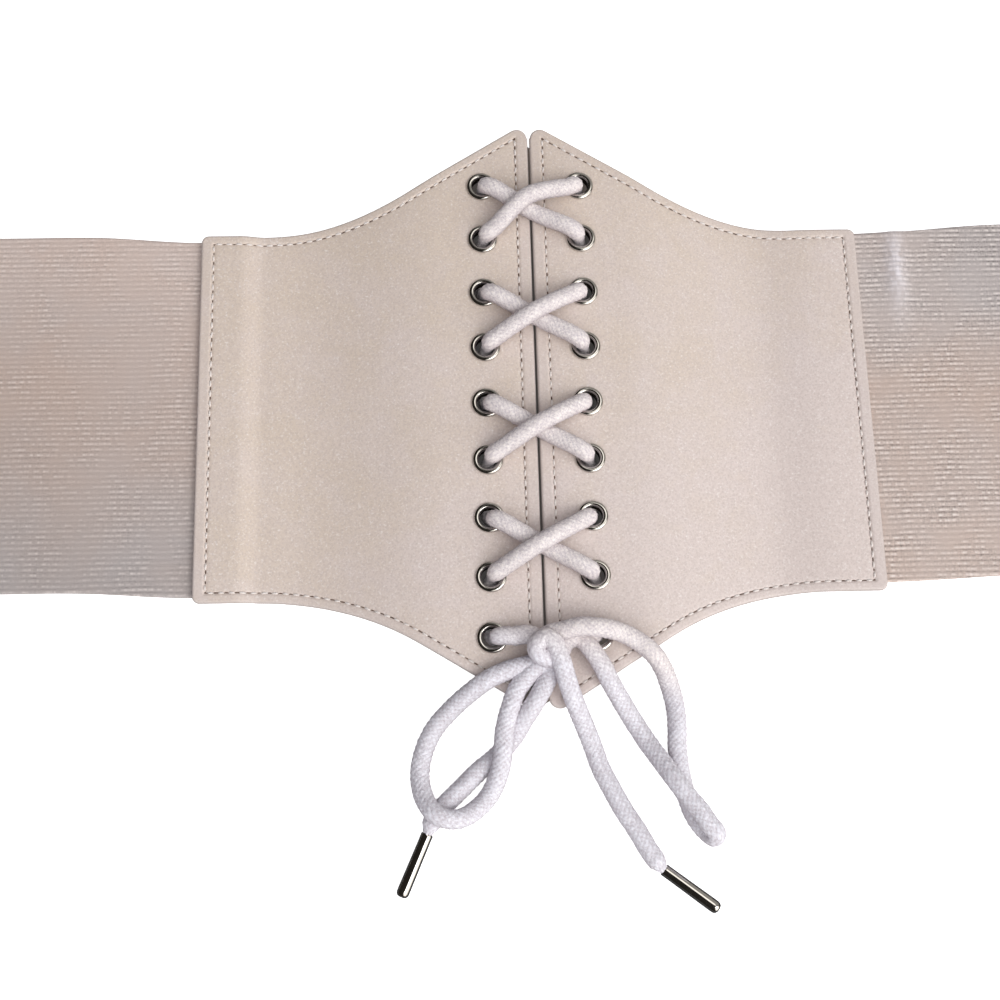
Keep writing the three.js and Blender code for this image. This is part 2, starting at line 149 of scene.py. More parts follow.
LOOP_RIGHT = [
    (0.0046, -0.0797, 0.0170), (0.0077, -0.0791, 0.0180), (0.0108, -0.0787, 0.0187),
    (0.0173, -0.0791, 0.0182), (0.0241, -0.0802, 0.0146), (0.0296, -0.0827, 0.0125),
    (0.0341, -0.0864, 0.0116), (0.0376, -0.0906, 0.0078), (0.04, -0.0958, 0.0044),
    (0.0417, -0.1032, 0.0033), (0.0419, -0.11, 0.0033), (0.0416, -0.1158, 0.0033),
    (0.0419, -0.1215, 0.0033), (0.0427, -0.1272, 0.0033), (0.0441, -0.1329, 0.0033),
    (0.0463, -0.1385, 0.0033), (0.0494, -0.1427, 0.0042), (0.0512, -0.1444, 0.0066),
    (0.0514, -0.1431, 0.0088), (0.0495, -0.1408, 0.0096), (0.0471, -0.1369, 0.0098),
    (0.0434, -0.1322, 0.0097), (0.0394, -0.1264, 0.0092), (0.0357, -0.1203, 0.0064),
    (0.0319, -0.114, 0.0038), (0.0280, -0.1075, 0.0038), (0.0239, -0.1012, 0.007),
    (0.0203, -0.0956, 0.0112), (0.0174, -0.0902, 0.0134), (0.0146, -0.0858, 0.0140),
]
KNOT_RETURN = [
    (0.0118, -0.0822, 0.0134), (0.0087, -0.0812, 0.0126), (0.0060, -0.0828, 0.0124),
]
END_LEFT = [
    (0.0043, -0.0860, 0.0124), (0.0024, -0.0899, 0.0124), (0.0002, -0.0940, 0.0124),
    (-0.0020, -0.0980, 0.0124), (-0.0044, -0.1019, 0.0124), (-0.0074, -0.1062, 0.0096),
    (-0.011, -0.1115, 0.0044), (-0.0164, -0.1173, 0.0033), (-0.0223, -0.1219, 0.0033),
    (-0.0275, -0.1268, 0.0033), (-0.0324, -0.1314, 0.0033), (-0.0367, -0.1362, 0.0033),
    (-0.0387, -0.1404, 0.0030),
]
LACE_SLACK = {("right", 1): (-1.5 * MM, 2.4 * MM), ("left", 1): (1.0 * MM, -1.3 * MM)}
AGLET_HEADINGS = {"left": (-8.3, -18.7), "right": (15.9, -12.1)}
AGLET_SEAT = 0.8 * MM
AGLET_LENGTH = 20.9 * MM
AGLET_TIP_RADIUS = 2.1 * MM
SLEEVE_DEPTH = 1.5 * MM
CRIMPED_RADIUS = 1.45 * MM

# Studio
CAMERA_PLACE = (-0.0311, -0.1651, 0.4875)
CAMERA_BACKWARD = (-0.0355, -0.2641, 0.9638)
CAMERA_UP = (0.0174, 0.9641, 0.2648)
CAMERA_LENS = 54
CAMERA_SENSOR = 36
FLOOR_SIZE = 8
FLOOR_DROP = 0.1 * MM


def belt_colour(name, description, value):
    """A colour property of the belt."""
    return bpy.props.FloatVectorProperty(
        name=name, description=description, default=value, subtype="COLOR", size=4, min=0, max=1)


def belt_length(name, description, value):
    """A length property of the belt."""
    return bpy.props.FloatProperty(
        name=name, description=description, default=value, unit="LENGTH", min=0, precision=5)


class BeltLeatherSettings(bpy.types.PropertyGroup):
    """Leather, its turned edges and its stitching."""
    edge_inset: belt_length("Edge seam inset", "Seam's distance from a top or bottom edge", 3.3 * MM)
    side_inset: belt_length("Side seam inset", "Seam's distance from an outer side edge", 4.3 * MM)
    middle_inset: belt_length("Middle seam inset", "Seam's distance from a middle edge", 4.5 * MM)
    edge_raise: belt_length("Edge raise", "How far the turned edge stands proud", 0.14 * MM)
    groove_depth: belt_length("Seam depth", "How deep the thread pulls the leather in", 0.26 * MM)
    stitch_pitch: belt_length("Stitch pitch", "Distance from stitch to stitch", 3.5 * MM)
    stitch_length: belt_length("Stitch length", "Shown length of one stitch", 2.2 * MM)
    thread_radius: belt_length("Thread radius", "Half the thread's thickness", 0.33 * MM)
    warm: belt_colour("Warm tone", "Leather where it looks yellower", (0.69, 0.582, 0.488, 1))
    cool: belt_colour("Cool tone", "Leather where it looks pinker", (0.722, 0.624, 0.58, 1))
    thread: belt_colour("Thread", "Sewing thread", (0.86, 0.79, 0.74, 1))
    cut: belt_colour("Cut edge", "Leather at its cut edges", (0.50, 0.44, 0.41, 1))
    fleck: belt_colour("Flecks", "Bright flecks of the pearl finish", (0.93, 0.88, 0.85, 1))
    pore: belt_colour("Pores", "Low places of the grain", (0.50, 0.41, 0.37, 1))
    turned: belt_colour("Turned edge", "Leather between a seam and its edge", (0.64, 0.555, 0.52, 1))
    # Painted shade in the groove that the thread pulls in.
    painted_seam_shade: belt_colour("Seam groove", "Leather under the thread", (0.44, 0.35, 0.30, 1))


class BeltElasticSettings(bpy.types.PropertyGroup):
    """The woven elastic bands."""
    rib_pitch: belt_length("Rib pitch", "Distance from rib to rib", 1.87 * MM)
    rib_height: belt_length("Rib height", "Height of one rib", 0.12 * MM)
    yarn_pitch: belt_length("Yarn pitch", "Usual length of one bright yarn", 2.2 * MM)
    warm: belt_colour("Warm cloud", "Elastic where it looks browner", (0.555, 0.44, 0.38, 1))
    cool: belt_colour("Cool cloud", "Elastic where it looks greyer", (0.52, 0.465, 0.445, 1))
    # Partly the yarn's own colour, partly painted highlight on the rib crests.
    gleam: belt_colour("Gleam", "Bright yarn on the ribs", (0.84, 0.77, 0.72, 1))
    # Colour of the painted highlight along the ridge beside the right panel.
    painted_ridge_glint: belt_colour("Painted ridge glint", "Yarn where a ridge stands up", (0.84, 0.80, 0.84, 1))


class BeltLaceSettings(bpy.types.PropertyGroup):
    """The braided cotton lace."""
    strands: bpy.props.IntProperty(
        name="Strands", description="Strands of the braid in each direction", default=9, min=4, max=24)
    braid_pitch: belt_length("Braid pitch", "Length of one braid cell along the lace", 1.9 * MM)
    braid_depth: belt_length("Braid depth", "Depth between two strands", 0.28 * MM)
    # The cotton colour carries painted warm light off the leather; the bow's colour carries painted cool
    # light.
    cotton: belt_colour("Cotton", "Top of the strands", (0.93, 0.86, 0.82, 1))
    painted_cool_cotton: belt_colour("Cotton in cool light", "Top of the strands in the bow", (0.90, 0.895, 0.95, 1))
    shade: belt_colour("Cotton shade", "Gaps between the strands", (0.50, 0.44, 0.47, 1))
    hair: belt_colour("Loose hairs", "Hairs that stand off the strands", (0.95, 0.93, 0.93, 1))


class BeltMetalSettings(bpy.types.PropertyGroup):
    """Polished nickel of the eyelets and aglets."""
    bright: belt_colour("Metal", "Polished metal", (0.70, 0.68, 0.65, 1))
    # Painted shade: the inside of the bore is coloured near black.
    barrel: belt_colour("Barrel", "Dull inside of an eyelet", (0.02, 0.014, 0.01, 1))
    roughness: bpy.props.FloatProperty(
        name="Roughness", description="Roughness of the polish", default=0.05, min=0, max=1)


class BeltStudioSettings(bpy.types.PropertyGroup):
    """Floor and soft studio light."""
    key_power: bpy.props.FloatProperty(
        name="Key light", description="Power of the soft light on the right", default=4.9, min=0)
    fill_power: bpy.props.FloatProperty(
        name="Fill light", description="Power of the soft light overhead", default=2.35, min=0)
    surround: bpy.props.FloatProperty(
        name="Surround", description="Strength of the light from all round", default=0.8, min=0)


SETTINGS = {
    "belt_leather": BeltLeatherSettings,
    "belt_elastic": BeltElasticSettings,
    "belt_lace": BeltLaceSettings,
    "belt_metal": BeltMetalSettings,
    "belt_studio": BeltStudioSettings,
}


# Shapes

def ease(value, start, end):
    """0 up to the start, 1 past the end, with a smooth wave between them."""
    share = np.clip((np.asarray(value, float) - start) / (end - start), 0, 1)
    return (1 - np.cos(np.pi * share)) / 2


def panel_level(distance, start, end):
    """Height of a panel at each distance from the belt's middle, with its step over the elastic."""
    settled = (PANEL_TOP - PANEL_WALL) * (1 - ease(distance, RAISED_REACH, REST_START))
    return settled + OVER_ELASTIC * ease(distance, start, end)


def panel_edge(distance):
    """Height of a panel's top edge: rounded tip, slope, sweep, level side and round corner."""
    sine = math.sin(TIP_SLOPE)
    cosine = math.cos(TIP_SLOPE)
    tip_x = INNER_EDGE + TIP_ROUND
    tip_y = PANEL_PEAK - TIP_ROUND
    sharp_tip = (tip_x * sine + tip_y * cosine + TIP_ROUND) / cosine
    sweep_x = (SIDE_SWEEP * (1 - cosine) + (sharp_tip - SIDE_HALF) * cosine) / sine
    corner_x = OUTER_EDGE - CORNER_ROUND
    x = np.asarray(distance, float)
    tip = tip_y + np.sqrt(np.maximum(TIP_ROUND ** 2 - (x - tip_x) ** 2, 0))
    slope = sharp_tip - x * math.tan(TIP_SLOPE)
    sweep = SIDE_HALF + SIDE_SWEEP - np.sqrt(np.maximum(SIDE_SWEEP ** 2 - (x - sweep_x) ** 2, 0))
    corner = SIDE_HALF - CORNER_ROUND + np.sqrt(np.maximum(CORNER_ROUND ** 2 - (x - corner_x) ** 2, 0))
    stretches = [x < tip_x + TIP_ROUND * sine, x < sweep_x - SIDE_SWEEP * sine, x < sweep_x, x < corner_x]
    return np.select(stretches, [tip, slope, sweep, np.full_like(x, SIDE_HALF)], corner)


def elastic_middle(distance):
    """Middle of the elastic's height, which drifts a little to the top past the panel."""
    return ELASTIC_OFFSET + ELASTIC_RISE * ease(distance, OUTER_EDGE, OUTER_EDGE + ELASTIC_RISE_RUN)


def tab_half_height(distance):
    """Half the height of an end tab with round corners."""
    inner = np.maximum(TAB_INNER + CORNER_ROUND - distance, 0)
    outer = np.maximum(distance - (TAB_OUTER - CORNER_ROUND), 0)
    cut = np.maximum(inner, outer)
    return SIDE_HALF - CORNER_ROUND + np.sqrt(np.maximum(CORNER_ROUND ** 2 - cut ** 2, 0))


def graded(low, high, spacing):
    """Places from low to high: close together near both ends and evenly spaced between."""
    inner_low = low + EDGE_LINES[-1]
    inner_high = high - EDGE_LINES[-1]
    count = max(2, round((inner_high - inner_low) / spacing))
    middle = np.linspace(inner_low, inner_high, count + 1)[1:-1]
    return np.concatenate([low + EDGE_LINES, middle, high - EDGE_LINES[::-1]])


def distance_to_outline(points, outline):
    """Distance of each point in the plane to the nearest side of a closed outline."""
    sides = np.roll(outline, -1, axis=0) - outline
    lengths = np.maximum((sides ** 2).sum(axis=1), 1e-15)
    nearest = np.empty(len(points))
    chunk = 2000
    for first in range(0, len(points), chunk):
        offset = points[first:first + chunk, None, :] - outline[None]
        share = np.clip((offset * sides).sum(axis=2) / lengths, 0, 1)
        gap = offset - share[..., None] * sides
        nearest[first:first + chunk] = np.sqrt((gap ** 2).sum(axis=2).min(axis=1))
    return nearest


def soft_waves(x, y, seed, reach):
    """A gentle uneven surface between -1 and 1, the same on each run."""
    draw = np.random.default_rng(seed)
    total = np.zeros_like(x)
    count = 5
    for _ in range(count):
        heading = draw.uniform(0, 2 * np.pi)
        phase = draw.uniform(0, 2 * np.pi)
        length = reach * draw.uniform(0.7, 1.6)
        total += np.sin(2 * np.pi * (x * np.cos(heading) + y * np.sin(heading)) / length + phase)
    return total / count


def distance_along(path):
    """How far along a path each of its places is, in metres."""
    return np.concatenate([[0], np.cumsum(np.linalg.norm(np.diff(path, axis=0), axis=1))])


def places_at(wanted, along, path):
    """The places at the wanted distances along a path."""
    return np.stack([np.interp(wanted, along, line) for line in path.T], axis=1)


def smooth_path(points, step):
    """A centripetal curve through the points, as an array of places a step apart."""
    chosen = np.array(points, float)
    first = 2 * chosen[0] - chosen[1]
    last = 2 * chosen[-1] - chosen[-2]
    chosen = np.vstack([first, chosen, last])
    knots = np.sqrt(np.linalg.norm(np.diff(chosen, axis=0), axis=1))
    pieces = []
    samples = 40
    for i in range(1, len(chosen) - 2):
        before, here, after, beyond = chosen[i - 1:i + 3]
        d0, d1, d2 = knots[i - 1:i + 2]
        start = ((here - before) / d0 - (after - before) / (d0 + d1) + (after - here) / d1) * d1
        end = ((after - here) / d1 - (beyond - here) / (d1 + d2) + (beyond - after) / d2) * d1
        t = np.linspace(0, 1, samples, endpoint=False)[:, None]
        square = t * t
        cube = square * t
        pieces.append(
            (2 * cube - 3 * square + 1) * here + (cube - 2 * square + t) * start
            + (3 * square - 2 * cube) * after + (cube - square) * end)
    pieces.append(chosen[-2:-1])
    dense = np.vstack(pieces)
    along = distance_along(dense)
    wanted = np.linspace(0, along[-1], max(2, round(along[-1] / step)) + 1)
    return places_at(wanted, along, dense)


def path_frames(path):
    """Two directions square to the path at each of its places, turning as little as they can."""
    ahead = np.gradient(path, axis=0)
    ahead /= np.linalg.norm(ahead, axis=1)[:, None]
    across = np.empty_like(path)
    start = np.cross(ahead[0], (0, 0, 1))
    across[0] = start / np.linalg.norm(start)
    for i in range(1, len(path)):
        level = across[i - 1] - ahead[i] * across[i - 1].dot(ahead[i])
        across[i] = level / np.linalg.norm(level)
    return across, np.cross(ahead, across)


# Mesh tools

def deselect_all():
    """Leaves nothing selected, in object mode."""
    if bpy.context.object and bpy.context.object.mode != "OBJECT":
        bpy.ops.object.mode_set(mode="OBJECT")
    bpy.ops.object.select_all(action="DESELECT")


def take_up(piece):
    """Makes one object the selected and active one."""
    deselect_all()
    piece.select_set(True)
    bpy.context.view_layer.objects.active = piece


def read_places(piece):
    """A mesh's vertex places as an array."""
    flat = np.empty(len(piece.data.vertices) * 3)
    piece.data.vertices.foreach_get("co", flat)
    return flat.reshape(-1, 3)


def write_places(piece, places):
    """Sets a mesh's vertex places from an array."""
    piece.data.vertices.foreach_set("co", np.asarray(places, float).ravel())
    piece.data.update()


def mesh_piece(name, places, faces, materials, indices=None):
    """An object from arrays of places and four-cornered faces."""
    mesh = bpy.data.meshes.new(name)
    mesh.from_pydata(np.asarray(places).tolist(), [], np.asarray(faces).tolist())
    piece = bpy.data.objects.new(name, mesh)
    bpy.context.scene.collection.objects.link(piece)
    for material in materials:
        mesh.materials.append(material)
    if indices is not None:
        mesh.polygons.foreach_set("material_index", indices)
    mesh.update()
    take_up(piece)
    bpy.ops.object.shade_smooth()
    return piece


def store_values(piece, name, values):
    """Keeps one number for each vertex, for the piece's material to read."""
    layer = piece.data.attributes.new(name, "FLOAT", "POINT")
    layer.data.foreach_set("value", np.asarray(values, np.float32))


def read_corners(piece):
    """The vertex at each corner of each face."""
    corners = np.empty(len(piece.data.loops), int)
    piece.data.loops.foreach_get("vertex_index", corners)
    return corners


def store_uv(piece, u, v):
    """Keeps a UV map in metres from one pair of numbers for each vertex."""
    layers = piece.data.uv_layers
    layer = layers[0] if layers else layers.new()
    corners = read_corners(piece)
    layer.data.foreach_set("uv", np.stack([u[corners], v[corners]], axis=1).astype(np.float32).ravel())
    layer.name = "weave"


def grid_piece(name, columns, rows):
    """A flat grid of unit size with the column and row of each of its vertices."""
    deselect_all()
    bpy.ops.mesh.primitive_grid_add(x_subdivisions=columns - 1, y_subdivisions=rows - 1, size=1)
    piece = bpy.context.object
    piece.name = name
    piece.data.name = name
    places = read_places(piece)
    column = np.rint((places[:, 0] + 0.5) * (columns - 1)).astype(int)
    row = np.rint((places[:, 1] + 0.5) * (rows - 1)).astype(int)
    return piece, column, row


def thicken(piece, wall):
    """Gives a flat sheet its other side and closes the rim. The new side's vertices come second."""
    take_up(piece)
    wall_modifier = piece.modifiers.new("wall", "SOLIDIFY")
    wall_modifier.thickness = wall
    wall_modifier.offset = -1
    bpy.ops.object.modifier_apply(modifier=wall_modifier.name)


def edit_all(piece):
    """Enters edit mode with all of a mesh selected."""
    take_up(piece)
    bpy.ops.object.mode_set(mode="EDIT")
    bpy.ops.mesh.select_all(action="SELECT")


def edit_chosen(piece, kind, chosen):
    """Enters edit mode with only the chosen faces or edges selected."""
    take_up(piece)
    bpy.ops.object.mode_set(mode="EDIT")
    bpy.ops.mesh.select_mode(type=kind)
    bpy.ops.mesh.select_all(action="DESELECT")
    bpy.ops.object.mode_set(mode="OBJECT")
    parts = piece.data.polygons if kind == "FACE" else piece.data.edges
    parts.foreach_set("select", chosen)
    bpy.ops.object.mode_set(mode="EDIT")


def face_outwards(piece):
    """Merges doubled vertices and turns every face outwards."""
    edit_all(piece)
    bpy.ops.mesh.remove_doubles(threshold=1e-6)
    bpy.ops.mesh.normals_make_consistent(inside=False)
    bpy.ops.object.mode_set(mode="OBJECT")


def dress(piece, slot, *nodes):
    """Rides a piece on the belt and hides the CAD nodes it stands for; its finish slot is not used."""
    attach(piece, "root")
    if nodes:
        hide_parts(*nodes)


# Materials

def add_node(tree, kind, values=None, **settings):
    """A node with its settings and the values of its inputs."""
    node = tree.nodes.new(kind)
    for key, value in settings.items():
        setattr(node, key, value)
    for key, value in (values or {}).items():
        node.inputs[key].default_value = value
    return node


def add_math(tree, operation, first, second=None, third=None):
    """A math node fed by sockets or numbers, and its result."""
    node = tree.nodes.new("ShaderNodeMath")
    node.operation = operation
    for i, value in enumerate((first, second, third)):
        if isinstance(value, bpy.types.NodeSocket):
            tree.links.new(value, node.inputs[i])
        elif value is not None:
            node.inputs[i].default_value = value
    return node.outputs[0]


def times(tree, first, second):
    """The product of two sockets or numbers."""
    return add_math(tree, "MULTIPLY", first, second)


def scaled(tree, value, factor, offset):
    """A value times a factor, plus an offset."""
    return add_math(tree, "MULTIPLY_ADD", value, factor, offset)


def add_range(tree, value, low, high):
    """0 at the low value, 1 at the high one and level past both."""
    spread = add_node(tree, "ShaderNodeMapRange", {"From Min": low, "From Max": high})
    tree.links.new(value, spread.inputs["Value"])
    return spread.outputs["Result"]


def read_value(tree, name):
    """A number that the piece keeps for each of its vertices."""
    return add_node(tree, "ShaderNodeAttribute", attribute_name=name).outputs["Fac"]


def object_place(tree):
    """The place on the piece."""
    return tree.nodes.new("ShaderNodeTexCoord").outputs["Object"]


def weave_place(tree):
    """The place along and across a weave or braid."""
    return add_node(tree, "ShaderNodeUVMap", uv_map="weave").outputs["UV"]


def split_place(tree, place):
    """The separate numbers of a place."""
    parts = tree.nodes.new("ShaderNodeSeparateXYZ")
    tree.links.new(place, parts.inputs[0])
    return parts.outputs


def darker(colour, share):
    """A colour at a share of its brightness."""
    return tuple(share * part for part in colour[:3]) + (1,)


def add_wave(tree, count):
    """A wave that is 0 at each whole count and 1 half way between."""
    return scaled(tree, add_math(tree, "COSINE", times(tree, count, 2 * math.pi)), -0.5, 0.5)


def add_noise(tree, x, y, detail):
    """Smooth noise over two numbers that count its cells."""
    cell = tree.nodes.new("ShaderNodeCombineXYZ")
    tree.links.new(x, cell.inputs[0])
    tree.links.new(y, cell.inputs[1])
    noise = add_node(tree, "ShaderNodeTexNoise", {"Scale": 1.0, "Detail": detail}, noise_dimensions="2D")
    tree.links.new(cell.outputs[0], noise.inputs["Vector"])
    return noise.outputs["Fac"]


def mix_colours(tree, share, first, second, blend="MIX"):
    """A mixed colour, from sockets or fixed colours."""
    node = tree.nodes.new("ShaderNodeMix")
    node.data_type = "RGBA"
    node.blend_type = blend
    for socket, value in ((node.inputs[0], share), (node.inputs[6], first), (node.inputs[7], second)):
        if isinstance(value, bpy.types.NodeSocket):
            tree.links.new(value, socket)
        else:
            socket.default_value = value
    return node.outputs[2]


def new_finish(name, **shader_values):
    """A material with a Principled shader, its tree and that shader."""
    material = bpy.data.materials.new(name)
    material.use_nodes = True
    shader = material.node_tree.nodes["Principled BSDF"]
    for key, value in shader_values.items():
        shader.inputs[key.replace("_", " ")].default_value = value
    return material, material.node_tree, shader


def new_group(name, inputs, outputs):
    """A shader node group with its inner input and output nodes."""
    group = bpy.data.node_groups.new(name, "ShaderNodeTree")
    for label, kind, default in inputs:
        socket = group.interface.new_socket(label, in_out="INPUT", socket_type=kind)
        if default is not None:
            socket.default_value = default
    for label, kind in outputs:
        group.interface.new_socket(label, in_out="OUTPUT", socket_type=kind)
    return group, group.nodes.new("NodeGroupInput"), group.nodes.new("NodeGroupOutput")


def excess(tree, value, level):
    """How far a value is above a level, or 0."""
    return add_math(tree, "MAXIMUM", add_math(tree, "SUBTRACT", value, level), 0.0)


def grain_group():
    """Fine pebbled grain: a height for bump and a mask of bright flecks."""
    group, source, result = new_group(
        "fine_grain",
        [("Vector", "NodeSocketVector", None), ("Cell Size", "NodeSocketFloat", 0.9 * MM)],
        [("Height", "NodeSocketFloat"), ("Flecks", "NodeSocketFloat")])
    scale = add_math(group, "DIVIDE", 1.0, source.outputs["Cell Size"])
    cells = add_node(group, "ShaderNodeTexVoronoi", feature="SMOOTH_F1")
    fine = add_node(group, "ShaderNodeTexNoise", {"Detail": 4.0, "Roughness": 0.65})
    spots = add_node(group, "ShaderNodeTexNoise", {"Detail": 1.0})
    for node, share in ((cells, 1.0), (fine, 1.7), (spots, 1.1)):
        group.links.new(source.outputs["Vector"], node.inputs["Vector"])
        group.links.new(times(group, scale, share), node.inputs["Scale"])
    height = scaled(group, cells.outputs["Distance"], 0.8, fine.outputs["Fac"])
    group.links.new(height, result.inputs["Height"])
    flecks = times(group, excess(group, spots.outputs["Fac"], 0.56), 7.0)
    group.links.new(flecks, result.inputs["Flecks"])
    return group


def cloud_group():
    """Slow tonal drift over a surface, as a mask around one half."""
    group, source, result = new_group(
        "tonal_drift",
        [("Vector", "NodeSocketVector", None), ("Size", "NodeSocketFloat", 60 * MM)],
        [("Mask", "NodeSocketFloat")])
    broad = add_node(group, "ShaderNodeTexNoise", {"Detail": 3.0, "Roughness": 0.55, "Distortion": 0.6})
    group.links.new(source.outputs["Vector"], broad.inputs["Vector"])
    group.links.new(add_math(group, "DIVIDE", 1.0, source.outputs["Size"]), broad.inputs["Scale"])
    group.links.new(add_range(group, broad.outputs["Fac"], 0.32, 0.68), result.inputs["Mask"])
    return group


def fibre_group():
    """Fine loose fibres: a height for bump and a mask of light hairs."""
    group, source, result = new_group(
        "loose_fibres",
        [("Vector", "NodeSocketVector", None), ("Fibre Size", "NodeSocketFloat", 0.5 * MM)],
        [("Height", "NodeSocketFloat"), ("Hairs", "NodeSocketFloat")])
    scale = add_math(group, "DIVIDE", 1.0, source.outputs["Fibre Size"])
    fluff = add_node(group, "ShaderNodeTexNoise", {"Detail": 5.0, "Roughness": 0.7, "Distortion": 1.2})
    group.links.new(source.outputs["Vector"], fluff.inputs["Vector"])
    group.links.new(scale, fluff.inputs["Scale"])
    group.links.new(fluff.outputs["Fac"], result.inputs["Height"])
    hairs = times(group, excess(group, fluff.outputs["Fac"], 0.53), 6.0)
    group.links.new(hairs, result.inputs["Hairs"])
    return group


def place_group(tree, group, vector, values):
    """A shared group placed in a material, fed by a vector."""
    node = tree.nodes.new("ShaderNodeGroup")
    node.node_tree = group
    for key, value in values.items():
        node.inputs[key].default_value = value
    tree.links.new(vector, node.inputs["Vector"])
    return node


def shared_group(name, maker):
    """A shared node group, made the first time it is asked for."""
    return bpy.data.node_groups.get(name) or maker()


def add_drift(tree, place, size):
    """A mask of slow tonal drift, with patches of about one size."""
    group = shared_group("tonal_drift", cloud_group)
    return place_group(tree, group, place, {"Size": size}).outputs["Mask"]


def add_fibres(tree, place, size):
    """Loose fibres of one size: their height, and a mask of light hairs."""
    outputs = place_group(
        tree, shared_group("loose_fibres", fibre_group), place, {"Fibre Size": size}).outputs
    return outputs["Height"], outputs["Hairs"]


def add_bump(tree, height, strength, depth, shader):
    """Feeds a height to the shader's normal."""
    bump = add_node(tree, "ShaderNodeBump", {"Strength": strength, "Distance": depth})
    tree.links.new(height, bump.inputs["Height"])
    tree.links.new(bump.outputs["Normal"], shader.inputs["Normal"])


def leather_finish(settings):
    """Pearl-finished leather with fine grain, cloudy tone and bright flecks, painted light across it,
    painted shade in its seams and darker cut edges.
    """
    material, tree, shader = new_finish(
        "pearl_leather", Roughness=0.42, Coat_Weight=0.15, Coat_Roughness=0.4,
        Sheen_Weight=0.05, Sheen_Roughness=0.5)
    place = object_place(tree)
    parts = split_place(tree, place)
    grain = place_group(tree, shared_group("fine_grain", grain_group), place, {"Cell Size": 0.75 * MM})
    height = grain.outputs["Height"]
    # Painted light: the leather turns pinker to the lower right and yellower to the upper left, as the
    # light falls.
    lean = scaled(tree, parts["X"], 3.5, scaled(tree, parts["Y"], -5.0, 0.05))
    patchy = scaled(tree, add_drift(tree, place, 11 * MM), 0.5, lean)
    share = scaled(tree, add_drift(tree, place, 55 * MM), 0.5, patchy)
    colour = mix_colours(tree, share, settings.warm, settings.cool)
    flecks = times(tree, grain.outputs["Flecks"], 0.36)
    colour = mix_colours(tree, flecks, colour, settings.fleck)
    pores = times(tree, add_math(tree, "SUBTRACT", 0.95, height), 1.1)
    colour = mix_colours(tree, pores, colour, settings.pore)
    # The seam mask mixes in painted shade along the thread's groove.
    for name, most, tone in (
            ("strip", 0.3, settings.turned), ("seam", 0.3, settings.painted_seam_shade), ("cut", 0.75, settings.cut)):
        colour = mix_colours(tree, times(tree, read_value(tree, name), most), colour, tone)
    tree.links.new(colour, shader.inputs["Base Color"])
    tree.links.new(scaled(tree, height, 0.12, 0.36), shader.inputs["Roughness"])
    add_bump(tree, height, 0.4, 0.1 * MM, shader)
    return material


def fibre_finish(name, dark, light, fibre_size, strength, depth, roughness):
    """A fibrous finish of two tones."""
    material, tree, shader = new_finish(name, Roughness=roughness, Sheen_Weight=0.2)
    height = add_fibres(tree, object_place(tree), fibre_size)[0]
    tree.links.new(mix_colours(tree, height, dark, light), shader.inputs["Base Color"])
    add_bump(tree, height, strength, depth, shader)
    return material


def thread_finish(colour):
    """Twisted sewing thread."""
    return fibre_finish("sewing_thread", darker(colour, 0.75), colour, 0.35 * MM, 0.5, 0.1 * MM, 0.6)


def needle_hole_shade_finish():
    """Painted shade for the inside of a needle hole."""
    material, tree, shader = new_finish("needle_hole_shade", Roughness=0.9)
    drift = add_drift(tree, object_place(tree), 5 * MM)
    tone = mix_colours(tree, drift, (0.10, 0.065, 0.05, 1), (0.19, 0.13, 0.10, 1))
    tree.links.new(tone, shader.inputs["Base Color"])
    return material


